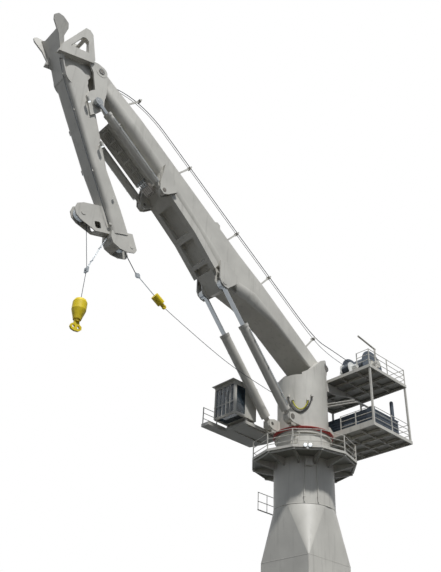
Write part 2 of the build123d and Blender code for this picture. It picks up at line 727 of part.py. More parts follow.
jack_pin = side_point(jib, jack_pin_s, jack_pin_t)
jack_foot = side_point(boom, jack_foot_u, jack_foot_v)
jack_reach = (jack_pin - jack_foot).length
jack_slope = degrees(atan2(jack_pin.Z - jack_foot.Z, jack_pin.X - jack_foot.X))
jack = inclined(jack_foot.X, jack_foot.Z - walkway_height, jack_slope)
with BuildPart() as knuckle_barrels:
    barrel(jack, jack_spacing, jack_barrel_radius, jack_barrel_length, jack_rod_radius, jack_eye_radius,
           jack_eye_width, jack_pin_radius, 640)
save(knuckle_barrels, "knuckle_barrels")
with BuildPart() as knuckle_rods:
    piston_rod(jack, jack_spacing, jack_reach, jack_rod_length, jack_rod_radius, jack_barrel_radius - 50,
               jack_eye_radius, jack_eye_width, 90)
save(knuckle_rods, "knuckle_rods")

# JIB

# Sections: distance along, half width, back of the jib, belly.
jib_sections = [(950, 650, 2660, 1120), (3200, 650, 2360, 900), (7000, 600, 1860, 840),
                (9500, 520, 1400, 300), (11000, 480, 1270, 60)]


def jib_section(along, half_width, back, belly):
    """The jib's cross-section: a box with large rolled corners."""
    origin = side_point(jib, along, (back + belly) / 2)
    with BuildSketch(Plane(origin=origin, x_dir=(0, 1, 0), z_dir=jib.x_dir)) as face:
        RectangleRounded(2 * half_width, back - belly, 260)
    return face.sketch


cheek_strip = [(-620, 900), (-560, 100), (-330, -300), (300, -380), (1600, -60), (2300, 260), (2850, 380),
               (3250, 900), (3600, 1500), (2200, 1500), (1780, 1150), (1600, 780), (250, 640)]
triangle_outer = [(-330, 3020), (-900, 2720), (-2950, 640), (-2900, 330), (-2600, 180), (-560, 440),
                  (-320, 640)]
triangle_hole = [(-1040, 2110), (-2080, 1050), (-2120, 800), (-1900, 640), (-990, 830)]
jib_box_sections = [jib_section(*row) for row in jib_sections]
fan_root = -350
fan_reach = -2250
horn_half = 1080
rope_saddles = [(-200, 2640), (950, 2680), (3300, 2340), (7200, 1820), (10450, 1330)]
with BuildPart() as jib_frame:
    for first, second in zip(jib_box_sections, jib_box_sections[1:]):
        loft(sections=[first, second], ruled=True)
    # Side plates of the box, with a full round at the top.
    boss(jib, 1000, 1890, 768, jib_box_half_width, -jib_box_half_width)
    # Cheeks that carry the knuckle pin and the rod pins.
    for turn in (1, -1):
        slab(jib, cheek_strip, turn * cheek_inner, turn * (cheek_inner + cheek_thickness))
        boss(jib, 0, 0, 420, turn * cheek_inner, turn * (cheek_inner + cheek_thickness + 15))
        boss(jib, jack_pin_s, jack_pin_t, 330, turn * cheek_inner,
             turn * (cheek_inner + cheek_thickness + 40))
        # Open triangular frames.
        with BuildSketch(jib.offset(-turn * (cheek_inner + cheek_thickness + 130))) as frame_face:
            with BuildLine():
                Polyline(*triangle_outer, close=True)
            make_face()
            fillet(frame_face.vertices().sort_by(Axis.X)[:4], 120)
            with BuildLine():
                Polyline(*triangle_hole, close=True)
            make_face(mode=Mode.SUBTRACT)
        extrude(frame_face.sketch, amount=turn * 290)
        # Horn plates that flare outwards from the jib's back.
        low = side_point(jib, fan_root, 2600, turn * 640)
        high = side_point(jib, fan_reach, 2600, turn * horn_half)
        along = (high - low).normalized()
        run = (high - low).length
        with BuildSketch(Plane(origin=low, x_dir=along, z_dir=along.cross(jib.y_dir))) as horn_face:
            with BuildLine():
                Polyline((-300, -60), (run * 0.6, -60), (run - 200, -380), (run + 150, -400),
                         (run + 480, -60),
                         (run + 560, 260), (run + 380, 560), (run + 50, 600), (run * 0.6, 300), (-300, 180),
                         close=True)
            make_face()
            fillet(horn_face.vertices().sort_by(Axis.X)[-7:], 110)
        extrude(horn_face.sketch, amount=45, both=True)
    # Back plate: from the box up between the cheeks, then flaring to the horns.
    crown = fan_root - fan_reach
    back = Plane(origin=side_point(jib, fan_root, 2600), x_dir=(0, 1, 0), z_dir=jib.y_dir)
    with BuildSketch(back) as fan:
        with BuildLine():
            Polyline((-620, -1500), (620, -1500), (650, 0), (horn_half, crown + 300),
                     (horn_half - 350, crown + 60),
                     (-horn_half + 350, crown + 60), (-horn_half, crown + 300), (-650, 0), close=True)
        make_face()
    extrude(fan.sketch, amount=60)
    # Recessed web that closes the head between the back plate and the knuckle pin.
    slab(jib, [(-560, 500), (-620, 2620), (1000, 2620), (1000, 1150), (400, 620)], 470, 430)
    slab(jib, [(-560, 500), (-620, 2620), (1000, 2620), (1000, 1150), (400, 620)], -430, -470)
    slab(jib, [(-330, 1250), (-400, 2620), (-340, 2620), (-270, 1250)], 600, -600)
    slab(jib, [(-560, 480), (-330, 1300), (-270, 1250), (-500, 460)], 600, -600)
    boss(jib, -2600, 420, 120, cheek_inner + 10, -cheek_inner - 10)
    boss(jib, 0, 0, knuckle_pin_radius + running_fit, 900, -900, mode=Mode.SUBTRACT)
save(jib_frame, "jib_frame")

# Sheave bracket on the jib's back.
whip_s = 9950
whip_t = 2850
whip_sheave_radius = 400
with BuildPart() as whip_bracket:
    for turn in (1, -1):
        with BuildSketch(jib.offset(-turn * 190)) as plate_face:
            with BuildLine():
                Polyline((9300, 1250), (9300, 2700), (9420, 3130), (9750, 3350), (10100, 3330), (10400, 3100),
                         (10950, 2250), (11000, 1200), close=True)
            make_face()
            with Locations((10550, 2020)):
                RectangleRounded(420, 380, 90, mode=Mode.SUBTRACT)
        extrude(plate_face.sketch, amount=-turn * 60)
        boss(jib, whip_s, whip_t, 130, turn * 250, turn * 275)
    slab(jib, [(9300, 1250), (9300, 2300), (9360, 2300), (9360, 1250)], 190, -190)
    slab(jib, [(10930, 1200), (10880, 2250), (10940, 2250), (10990, 1200)], 190, -190)
    boss(jib, whip_s, whip_t, 60, 250, -250)
    add(jib_frame.part, mode=Mode.SUBTRACT)
save(whip_bracket, "whip_bracket")


def sheave(frame, s, t, radius, width, bore, rope):
    """A rope sheave with a grooved rim, a thin web and a bored hub."""
    centre = side_point(frame, s, t, 0)
    with BuildSketch(Plane(origin=centre, x_dir=(1, 0, 0), z_dir=(0, 0, 1))) as half:
        with BuildLine():
            Polyline((bore, -width * 0.5), (bore + 70, -width * 0.5), (bore + 70, -width * 0.12),
                     (radius - 110, -width * 0.12), (radius - 90, -width * 0.42), (radius, -width * 0.42),
                     (radius - rope * 2, -rope * 0.6), (radius - rope * 2, rope * 0.6),
                     (radius, width * 0.42),
                     (radius - 90, width * 0.42), (radius - 110, width * 0.12), (bore + 70, width * 0.12),
                     (bore + 70, width * 0.5), (bore, width * 0.5), close=True)
        make_face()
    revolve(half.sketch, axis=Axis(centre, (0, 1, 0)))


with BuildPart() as whip_sheave:
    sheave(jib, whip_s, whip_t, whip_sheave_radius, 300, 60 + running_fit, 40)
save(whip_sheave, "whip_sheave")

# Sheave house at the jib's tip with a curved cover on its back.
tip_s = 11450
tip_t = 560
tip_sheave_radius = 400
tip_half = 440
with BuildPart() as tip_house:
    for turn in (1, -1):
        with BuildSketch(jib.offset(-turn * (tip_half - 70))) as plate_face:
            with BuildLine():
                Polyline((10850, 1290), (11250, 1400), (11600, 1330), (11900, 950), (12050, 500),
                         (12050, -50),
                         (11850, -230), (10850, -150), close=True)
            make_face()
            fillet(plate_face.vertices().sort_by(Axis.X)[-3:], 130)
        extrude(plate_face.sketch, amount=-turn * 70)
        boss(jib, 11700, 100, 100, turn * tip_half, turn * (tip_half + 20))
    slab(jib, [(10850, 1290), (11250, 1400), (11600, 1330), (11900, 950), (11850, 920), (11570, 1280),
               (11240, 1345), (10870, 1240)], tip_half - 70, 70 - tip_half)
    slab(jib, [(10850, -150), (11300, -190), (11300, -140), (10850, -100)], tip_half - 70, 70 - tip_half)
    boss(jib, tip_s, tip_t, 80, tip_half, -tip_half)
    slab(jib, [(11200, 1340), (11330, 1340), (11330, 1560), (11200, 1560)], 60, -60)
    add(jib_frame.part, mode=Mode.SUBTRACT)
    add(whip_bracket.part, mode=Mode.SUBTRACT)
save(tip_house, "tip_house")
with BuildPart() as tip_sheave:
    sheave(jib, tip_s, tip_t, tip_sheave_radius, 360, 80 + running_fit, 56)
save(tip_sheave, "tip_sheave")

# ROPES AND HOSES


def bend_radii(points):
    """The arc at each inner point: 0.45 of the shorter run over the tangent of half the turn."""
    radii = []
    for before, here, after in zip(points, points[1:], points[2:]):
        into = Vector(*here) - Vector(*before)
        out = Vector(*after) - Vector(*here)
        turn = radians(into.get_angle(out))
        radii.append(0.45 * min(into.length, out.length) / tan(turn / 2))
    return radii


def cords(name, routes, radius):
    """Ropes or hoses of one size: straight runs joined by tangent arcs."""
    with BuildPart() as tubes:
        for points in routes:
            radii = bend_radii(points)
            with BuildLine() as path:
                if radii:
                    FilletPolyline(*points, radius=radii)
                else:
                    Line(*points)
            with BuildSketch(Plane(origin=path.line @ 0, z_dir=path.line % 0)) as section:
                Circle(radius)
            sweep(section.sketch, path=path.line)
            length = sum(edge.length for edge in path.edges())
            print(name, "length", round(length), "radii", [round(r) for r in radii])
    save(tubes, name)
    return tubes.part


def guide_point(index, rise, shift):
    """A point of a rope over one of the boom's guides."""
    along, left = guide_places[index]
    return tuple(side_point(boom, along - 130, guide_top(along) + guide_height - 120 + rise, left + shift))


shackle_x = 16800
shackle_z = 5750
ball_top = 3850
ball_bottom = 2600
ball_radius = 370
joint_x = 13670
joint_z = 6990
block_x = 12070
block_z = 6120
anchor_x = 1640
anchor_z = 3800
drum_x = -4000
drum_z = upper_deck_level + 1450
drum_core = 620
drum_axis_y = 1900
whip_drum_x = -1950
whip_drum_z = upper_deck_level + 560
whip_drum_y = 2250
main_axis = inclined(block_x, block_z, degrees(atan2(joint_z - block_z, joint_x - block_x)))
main_route = [(drum_x - 50, 1250, walkway_height + drum_z + drum_core - 40 + main_rope_radius),
              (-1900, 1090, walkway_height + drum_z + drum_core + 330),
              guide_point(0, 30, 64), guide_point(1, 40, 64), guide_point(2, 45, 64),
              guide_point(3, 40, 64), guide_point(4, 150, 64), tuple(side_point(boom, 22100, 520, 420))]
whip_route = [(whip_drum_x, 2100, walkway_height + whip_drum_z + 250 + whip_rope_radius),
              (-1250, 1450, walkway_height + upper_deck_level + 1500),
              guide_point(0, 22, -64), guide_point(1, 35, -64), guide_point(2, 40, -64),
              guide_point(3, 35, -64), guide_point(4, 140, -64), tuple(side_point(boom, 22100, 520, 260))]
main_boom_rope = cords("boom_main_rope", [main_route], main_rope_radius)
whip_boom_rope = cords("boom_whip_rope", [whip_route], whip_rope_radius)
saddle_tops = [tuple(side_point(jib, s, t + 60 + whip_rope_radius, 410)) for s, t in rope_saddles]
back_rope = cords("jib_rope", [saddle_tops], whip_rope_radius)
whip_rope = cords("whip_rope",
                  [[tuple(side_point(jib, 10330, 2560)), (shackle_x, 0, walkway_height + shackle_z)]],
                  whip_rope_radius)
ball_rope = cords("ball_rope", [[(shackle_x, 0, walkway_height + shackle_z - 200),
                                 (shackle_x, 0, walkway_height + ball_top)]], whip_rope_radius)
main_rope = cords("main_rope", [[tuple(side_point(jib, 11900, 250)), tuple(side_point(main_axis, 1960, 0))]],
                  main_rope_radius)
tag_route = [tuple(side_point(main_axis, -654, 0)), (8200, 0, walkway_height + 4750),
             (5000, 0, walkway_height + 4080), (anchor_x - 30, 0, walkway_height + anchor_z)]
tag_line = cords("tag_line", [tag_route], whip_rope_radius)
hose_back = column_radius + 90
hose_ends = [((9, 14, 34, 56, 62), (3950, 3250, 2720, 3200, 3900)),
             ((20, 24, 37, 49, 53), (3650, 3250, 2950, 3200, 3600))]
hose_routes = [[tuple(Vector(hose_back, 0, walkway_height + z).rotate(Axis.Z, a)) for a, z in zip(*ends)]
               for ends in hose_ends]
column_hoses = cords("column_hoses", hose_routes, hose_radius)

# Floodlights on brackets along the jib, and the saddles under the rope along its back.
lamp_spots = [(2700, 1), (5600, 1), (8300, 1), (3900, -1), (6500, -1)]
with BuildPart() as jib_fittings:
    for along, turn in lamp_spots:
        half = jib_box_half_width if along < 3300 else jib_box_half_width - 20 - (along - 3300) / 60
        back = 2660 - 0.132 * (along - 950)
        height = back - 850 if turn > 0 else back - 550
        arm = side_point(jib, along, height, turn * (half - 30))
        end = side_point(jib, along - 60, height + 60, turn * (half + 330))
        rod(arm, end, 25)
        lamp_axis = side_point(jib, along + 170, height + 20, turn * (half + 330))
        rod(side_point(jib, along - 120, height + 70, turn * (half + 330)), lamp_axis, 105)
    for along, rise in rope_saddles:
        slab(jib, [(along - 60, rise - 260), (along + 60, rise - 260), (along + 60, rise + 60),
                   (along - 60, rise + 60)],
             380, 440)
    for neighbour in (jib_frame.part, back_rope):
        add(neighbour, mode=Mode.SUBTRACT)
save(jib_fittings, "jib_fittings")

# Posts on the boom's top edge, each with a two-groove saddle for the ropes.
with BuildPart() as rope_guides:
    for along, left in guide_places:
        top = guide_top(along)
        foot = side_point(boom, along, top, left)
        head = side_point(boom, along - 130, top + guide_height - 150, left)
        bar(foot, head, 110, 60, up=(0, 1, 0))
        slab(boom, [(along - 230, top + guide_height - 160), (along - 30, top + guide_height - 160),
                    (along - 30, top + guide_height - 120), (along - 230, top + guide_height - 120)],
             left - 140, left + 140)
        for edge in (-140, -12, 116):
            slab(boom, [(along - 190, top + guide_height - 120), (along - 70, top + guide_height - 120),
                        (along - 90, top + guide_height + 30), (along - 170, top + guide_height + 30)],
                 left + edge, left + edge + 24)
    for neighbour in (boom_hull.part, main_boom_rope, whip_boom_rope):
        add(neighbour, mode=Mode.SUBTRACT)
save(rope_guides, "rope_guides")

# Bulkhead blocks on the column that the hoses leave, and the eye that the tag line is made fast to.
with BuildPart() as hose_blocks:
    for angles, heights in hose_ends:
        for angle, rise in ((angles[0], heights[0]), (angles[-1], heights[-1])):
            with Locations(Location((0, 0, walkway_height + rise + 65), (0, 0, angle))):
                with Locations((column_radius + 65, 0, 0)):
                    Box(170, 150, 150)
    block((column_radius - 60, -60, anchor_z - 120), (column_radius + 60, 60, anchor_z + 120))
    with BuildSketch(Plane.XY.offset(walkway_height)):
        Circle(column_radius)
    extrude(amount=column_cutter, mode=Mode.SUBTRACT)
    add(column_hoses, mode=Mode.SUBTRACT)
    add(tag_line, mode=Mode.SUBTRACT)
save(hose_blocks, "hose_blocks")

# HANGING GEAR

# Strop: two tie rods from the jib's tip, and the frame that they and the whip rope meet in.
tip_lug = side_point(jib, 11265, 1500)
knot = Vector(shackle_x, 0, walkway_height + shackle_z)
with BuildPart() as whip_strop:
    for y in (-80, 80):
        rod((tip_lug.X, y, tip_lug.Z), (knot.X, y, knot.Z), 16)
    for share in (0.3, 0.75):
        middle = tip_lug + (knot - tip_lug) * share
        rod((middle.X, -105, middle.Z), (middle.X, 105, middle.Z), 40)
    rod((tip_lug.X, -110, tip_lug.Z), (tip_lug.X, 110, tip_lug.Z), 40)
    rod((knot.X, -100, knot.Z), (knot.X, 100, knot.Z), 70)
    add(tip_house.part, mode=Mode.SUBTRACT)
    add(whip_rope, mode=Mode.SUBTRACT)
save(whip_strop, "whip_strop")

with BuildPart() as whip_shackle:
    for y in (-140, 105):
        block((shackle_x - 60, y, shackle_z - 200), (shackle_x + 60, y + 35, shackle_z + 60))
    block((shackle_x - 60, -140, shackle_z - 240), (shackle_x + 60, 140, shackle_z - 200))
    boss(side, shackle_x, shackle_z, 30, 140, 100.3)
    boss(side, shackle_x, shackle_z, 30, -100.3, -140)
    add(ball_rope, mode=Mode.SUBTRACT)
save(whip_shackle, "whip_shackle")

with BuildPart() as overhaul_ball:
    with BuildSketch(Plane(origin=(shackle_x, 0, walkway_height + ball_bottom), x_dir=(1, 0, 0),
                           z_dir=(0, -1, 0))) as half:
        with BuildLine():
            Polyline((0, 0), (210, 0), (250, 160), (330, 420), (ball_radius, 560), (ball_radius, 1000),
                     (300, 1150), (150, 1210), (100, 1250), (0, 1250), close=True)
        make_face()
    revolve(half.sketch, axis=Axis((shackle_x, 0, walkway_height), (0, 0, 1)))
save(overhaul_ball, "overhaul_ball")

with BuildPart() as ball_hook:
    hook_top = walkway_height + ball_bottom - 0.3
    with Locations((shackle_x, 0, hook_top - 60)):
        Cylinder(150, 120)
    with BuildSketch(Plane(origin=(shackle_x, 60, hook_top - 100), x_dir=(1, 0, 0),
                           z_dir=(0, -1, 0))) as hook:
        with BuildLine():
            Polyline((-130, 0), (130, 0), (150, -150), (290, -240), (330, -400), (250, -520), (60, -560),
                     (-180, -520), (-320, -380), (-300, -220), (-160, -130), close=True)
        make_face()
        fillet(hook.vertices().sort_by(Axis.Y)[:6], 60)
        with Locations((-130, -330), (150, -340)):
            Circle(80, mode=Mode.SUBTRACT)
    extrude(hook.sketch, amount=120)
save(ball_hook, "ball_hook")

# Main hook: tied back by its tag line, so it hangs at a slant.
with BuildPart() as main_hook_link:
    rod(side_point(main_axis, 1600, 0), side_point(main_axis, 1960, 0), 60)
    boss(main_axis, 1780, 0, 130, 70, -70)
    rod(side_point(main_axis, 320, 0), side_point(main_axis, 1600, 0), 26)
    add(main_rope, mode=Mode.SUBTRACT)
save(main_hook_link, "main_hook_link")
with BuildPart() as main_hook:
    rod(side_point(main_axis, -280, 0), side_point(main_axis, 319.7, 0), 230)
    rod(side_point(main_axis, -420, 0), side_point(main_axis, -280, 0), 120)
    boss(main_axis, -520, 0, 130, 60, -60)
    boss(main_axis, -540, 0, 50, 61, -61, mode=Mode.SUBTRACT)
    add(tag_line, mode=Mode.SUBTRACT)
save(main_hook, "main_hook")

# MACHINERY DECKS


def deck(floor, depth):
    """A framed deck cut to the column, with a grid of beams under its plate."""
    block((deck_front, deck_left, floor - 20), (deck_rear, deck_right, floor))
    for y in (deck_right, deck_left - 80):
        block((deck_front, y, floor - depth), (deck_rear, y + 80, floor - 20))
    for x in (deck_front - 80, deck_rear):
        block((x, deck_right, floor - depth), (x + 80, deck_left, floor - 20))
    for share in (0.25, 0.5, 0.75):
        x = deck_front + (deck_rear - deck_front) * share
        block((x - 50, deck_right, floor - depth + 20), (x + 50, deck_left, floor - 20))
    for share in (0.2, 0.4, 0.6, 0.8):
        y = deck_right + (deck_left - deck_right) * share
        block((deck_front, y - 40, floor - depth + 40), (deck_rear, y + 40, floor - 20))


davit_x = -2650
davit_y = 3950
davit_base = walkway_height + upper_deck_level
deck_post_spots = [(deck_front - 100, deck_left - 90), (deck_rear + 90, deck_left - 90),
                   (deck_front - 100, deck_right + 90), (deck_rear + 90, deck_right + 90)]
with BuildPart() as machinery_decks:
    deck(lower_deck_level, deck_frame_depth)
    deck(upper_deck_level, deck_frame_depth)
    for x, y in deck_post_spots:
        block((x - 55, y - 55, lower_deck_level), (x + 55, y + 55, upper_deck_level - deck_frame_depth))
    block((deck_front, 1300, lower_deck_level - deck_frame_depth),
          (deck_front + 20, deck_left, lower_deck_level + 160))
    # Socket of the service davit.
    rod((davit_x, davit_y, davit_base), (davit_x, davit_y, davit_base + 30), 160)
    rod((davit_x, davit_y, davit_base + 30), (davit_x, davit_y, davit_base + 700), 90)
    rod((davit_x, davit_y, davit_base + 100), (davit_x, davit_y, davit_base + 710), 60 + running_fit,
        mode=Mode.SUBTRACT)
    for floor in (lower_deck_level, upper_deck_level):
        for y in (-960, 860):
            slab(side, [(-900, floor - deck_frame_depth), (-4200, floor - deck_frame_depth),
                        (-4200, floor - deck_frame_depth - 60), (-1900, floor - deck_frame_depth - 620),
                        (-900, floor - deck_frame_depth - 620)]
                 if floor == upper_deck_level else
                 [(-900, floor), (-2050, floor), (-2050, floor + 60), (-1500, floor + 620),
                  (-900, floor + 620)],
                 y, y + 100)
    with BuildSketch(Plane.XY.offset(walkway_height)):
        Circle(column_radius)
    extrude(amount=column_cutter, mode=Mode.SUBTRACT)
save(machinery_decks, "machinery_decks")

with BuildPart() as deck_railings:
    inset = 60
    front = deck_front - inset
    rear = deck_rear + inset
    left = deck_left - inset
    right = deck_right + inset
    mid = (front + rear) / 2
    run = [(deck_post_spots[0][0], 1800), (deck_post_spots[0][0], 2950), deck_post_spots[0],
           (mid, deck_post_spots[0][1]), deck_post_spots[1], (deck_post_spots[1][0], 1300),
           deck_post_spots[3],
           (mid, deck_post_spots[3][1]), deck_post_spots[2]]
    railing(run, lower_deck_level, posts=[spot for spot in run if spot not in deck_post_spots])
    railing([(front, 3350), (front, left), (mid, left), (rear, left), (rear, 1300), (rear, right),
             (mid, right),
             (front, right)], upper_deck_level)
    add(machinery_decks.part, mode=Mode.SUBTRACT)
save(deck_railings, "deck_railings")

# Louvred power pack on the lower deck.
pack_front = -2150
pack_rear = -4900
pack_left = 3700
pack_right = -1000
pack_height = 1350
with BuildPart() as power_pack:
    block((pack_front, pack_left, lower_deck_level), (pack_rear, pack_right, lower_deck_level + pack_height))
    slats = 7
    for k in range(slats):
        z = lower_deck_level + 180 + k * (pack_height - 300) / (slats - 1)
        block((pack_front + 140, pack_left - 60, z), (pack_rear + 140, pack_left + 35, z + 60))
        block((pack_front - 60, pack_left - 140, z), (pack_front + 35, pack_right + 140, z + 60))
    block((pack_front + 40, pack_left + 40, lower_deck_level + pack_height),
          (pack_rear - 40, pack_right - 40, lower_deck_level + pack_height + 40))
save(power_pack, "power_pack")

# Corner cabinet, electric motor and accumulator bottle.
with BuildPart() as deck_cabinets:
    block((deck_front - 170, deck_left - 560, lower_deck_level),
          (deck_front - 480, deck_left - 200, lower_deck_level + 1150))
    block((deck_front - 150, 1950, lower_deck_level), (deck_front - 650, 2850, lower_deck_level + 140))
    with Locations((deck_front - 400, 2400, walkway_height + lower_deck_level + 380)):
        Cylinder(250, 880, rotation=(90, 0, 0))
    with Locations((pack_rear + 250, pack_left - 200, walkway_height + lower_deck_level + pack_height + 40)):
        Cylinder(120, 1250, align=(Align.CENTER, Align.CENTER, Align.MIN))
    with Locations((pack_rear + 250, pack_left - 200,
                    walkway_height + lower_deck_level + pack_height + 1290)):
        Sphere(120)
save(deck_cabinets, "deck_cabinets")

# Pipe loop between the decks, on two stands.
pipe_level = walkway_height + 4050
pack_top = walkway_height + lower_deck_level + pack_height + 40
with BuildPart() as deck_pipes:
    for lift in (0, 190):
        with BuildLine() as run:
            FilletPolyline((-1150, 950, pipe_level + lift), (-1850, 2900 - lift, pipe_level + lift),
                           (-4700 + lift, 2900 - lift, pipe_level + lift),
                           (-4700 + lift, 2900 - lift, pack_top), radius=[260, 260])
        with BuildSketch(Plane(origin=run.line @ 0, z_dir=run.line % 0)) as bore:
            Circle(45)
        sweep(bore.sketch, path=run.line)
    for x in (-2600, -4000):
        block((x - 40, 2560, lower_deck_level + pack_height + 40), (x + 40, 2640, 4300))
        block((x - 40, 2560, 4070), (x + 40, 2900, 4130))
    with BuildSketch(Plane.XY.offset(walkway_height)):
        Circle(column_radius)
    extrude(amount=column_cutter, mode=Mode.SUBTRACT)
save(deck_pipes, "deck_pipes")

# WINCHES

drum_flange = 1080
drum_half = 850
with BuildPart() as main_winch_frame:
    for y in (drum_axis_y - drum_half - 160, drum_axis_y + drum_half + 40):
        slab(side, [(drum_x - 900, upper_deck_level), (drum_x + 900, upper_deck_level),
                    (drum_x + 520, upper_deck_level + 900), (drum_x + 280, drum_z + 280),
                    (drum_x - 280, drum_z + 280), (drum_x - 520, upper_deck_level + 900)], y, y + 120)
    for x in (drum_x - 850, drum_x + 770):
        block((x, drum_axis_y - drum_half - 160, upper_deck_level),
              (x + 80, drum_axis_y + drum_half + 160, upper_deck_level + 120))
    boss(side, drum_x, drum_z, 260, drum_axis_y + drum_half + 160, drum_axis_y + drum_half + 480)
    for y in (drum_axis_y - drum_half - 170, drum_axis_y + drum_half + 30):
        boss(side, drum_x, drum_z, 110 + running_fit, y, y + 200, mode=Mode.SUBTRACT)
save(main_winch_frame, "main_winch_frame")
with BuildPart() as main_winch_drum:
    boss(side, drum_x, drum_z, drum_core - 40, drum_axis_y - drum_half, drum_axis_y + drum_half)
    for y in (drum_axis_y - drum_half, drum_axis_y + drum_half - 50):
        boss(side, drum_x, drum_z, drum_flange, y, y + 50)
    boss(side, drum_x, drum_z, 110, drum_axis_y - drum_half - 150, drum_axis_y + drum_half + 150)
save(main_winch_drum, "main_winch_drum")

whip_half = 330
with BuildPart() as whip_winch_frame:
    for y in (whip_drum_y - whip_half - 90, whip_drum_y + whip_half + 30):
        slab(side, [(whip_drum_x - 420, upper_deck_level), (whip_drum_x + 420, upper_deck_level),
                    (whip_drum_x + 150, whip_drum_z + 160), (whip_drum_x - 150, whip_drum_z + 160)], y,
                    y + 60)
    for x in (whip_drum_x - 400, whip_drum_x + 340):
        block((x, whip_drum_y - whip_half - 90, upper_deck_level),
              (x + 60, whip_drum_y + whip_half + 90, upper_deck_level + 70))
    boss(side, whip_drum_x, whip_drum_z, 150, whip_drum_y + whip_half + 90, whip_drum_y + whip_half + 420)
    for y in (whip_drum_y - whip_half - 100, whip_drum_y + whip_half + 20):
        boss(side, whip_drum_x, whip_drum_z, 60 + running_fit, y, y + 80, mode=Mode.SUBTRACT)
save(whip_winch_frame, "whip_winch_frame")
with BuildPart() as whip_winch_drum:
    boss(side, whip_drum_x, whip_drum_z, 250, whip_drum_y - whip_half, whip_drum_y + whip_half)
    for y in (whip_drum_y - whip_half, whip_drum_y + whip_half - 30):
        boss(side, whip_drum_x, whip_drum_z, 390, y, y + 30)
    boss(side, whip_drum_x, whip_drum_z, 60, whip_drum_y - whip_half - 80, whip_drum_y + whip_half + 80)
save(whip_winch_drum, "whip_winch_drum")

# Turning arm of the service davit.
with BuildPart() as davit_arm:
    rod((davit_x, davit_y, davit_base + 100.3), (davit_x, davit_y, davit_base + 1750), 60)
    rod((davit_x, davit_y, davit_base + 700.3), (davit_x, davit_y, davit_base + 760), 90)
    rod((davit_x - 60, davit_y, davit_base + 1700), (davit_x + 1700, davit_y, davit_base + 1950), 60)
save(davit_arm, "davit_arm")

# CABIN

platform_level = cabin_floor - 150
with BuildPart() as cabin_platform:
    outline(level.offset(platform_level),
            [(600, -1300), (3700, -1300), (3700, cabin_right - 50), (5100, cabin_right - 50),
                                           (5100, -3750), (900, -3750), (600, -2600)], -200)
    for y in (-1500, -2700):
        slab(side, [(900, platform_level - 200), (3300, platform_level - 200), (3300, platform_level - 230),
                    (900, platform_level - 260)], y, y + 60)
    for x in (cabin_rear + 60, 3560):
        for y in (cabin_left - 200, cabin_right + 80):
            block((x, y, platform_level), (x + 120, y + 120, cabin_floor))
    block((700, -1400, platform_level), (1250, -1300, platform_level + 900))
    railing([(5040, -3690), (3900, -3690), (2500, -3690), (1000, -3690)], platform_level)
    with BuildSketch(Plane.XY.offset(walkway_height)):
        Circle(column_radius)
    extrude(amount=column_cutter, mode=Mode.SUBTRACT)
save(cabin_platform, "cabin_platform")

wall = 60
window_sill = cabin_floor + 120
door_low = cabin_floor + 80
door_high = cabin_floor + 1980
door_near = cabin_right + 150
door_width = 760
with BuildPart() as cabin_shell:
    block((cabin_rear, cabin_left, cabin_floor), (cabin_front, cabin_right, cabin_roof))
    block((cabin_rear + wall, cabin_left - wall, cabin_floor + wall),
          (cabin_front - wall, cabin_right + wall, cabin_roof - wall),
          mode=Mode.SUBTRACT)
    block((cabin_front - wall - 5, cabin_left - 90, window_sill),
          (cabin_front + 5, cabin_right + 90, cabin_roof - 170),
          mode=Mode.SUBTRACT)
    for y in (cabin_left - wall - 5, cabin_right - 5):
        block((cabin_rear + 950, y, cabin_floor + 150), (cabin_front - 110, y + wall + 10, cabin_roof - 250),
              mode=Mode.SUBTRACT)
    block((3800, cabin_left - 160, cabin_floor - 5),
          (cabin_front - 110, cabin_right + 160, cabin_floor + wall + 5),
          mode=Mode.SUBTRACT)
    block((cabin_rear - 5, door_near, door_low), (cabin_rear + wall + 5, door_near + door_width, door_high),
          mode=Mode.SUBTRACT)
    block((cabin_rear - 60, cabin_left + 30, cabin_roof),
          (cabin_front + 260, cabin_right - 60, cabin_roof + 50))
save(cabin_shell, "cabin_shell")

pane = 12
with BuildPart() as cabin_glass:
    block((cabin_front - 40, cabin_left - 90, window_sill),
          (cabin_front - 40 + pane, cabin_right + 90, cabin_roof - 170))
    for y in (cabin_left - 36, cabin_right + 24):
        block((cabin_rear + 950, y, cabin_floor + 150), (cabin_front - 110, y + pane, cabin_roof - 250))
    block((3800, cabin_left - 160, cabin_floor + 24),
          (cabin_front - 110, cabin_right + 160, cabin_floor + 24 + pane))
save(cabin_glass, "cabin_glass")

guard_x = cabin_front + 70
with BuildPart() as cabin_guard:
    bars = 6
    for k in range(bars):
        y = cabin_left - 60 - k * (cabin_left - cabin_right - 120) / (bars - 1)
        rod((guard_x, y, walkway_height + cabin_floor + 60), (guard_x, y, walkway_height + cabin_roof - 90),
            14)
    for z in (cabin_floor + 60, cabin_floor + 780, cabin_roof - 90):
        rod((guard_x, cabin_left - 20, walkway_height + z), (guard_x, cabin_right + 20, walkway_height + z),
            18)
        for y in (cabin_left - 40, cabin_right + 40):
            if z != cabin_floor + 780:
                rod((cabin_front, y, walkway_height + z), (guard_x, y, walkway_height + z), 14)
save(cabin_guard, "cabin_guard")

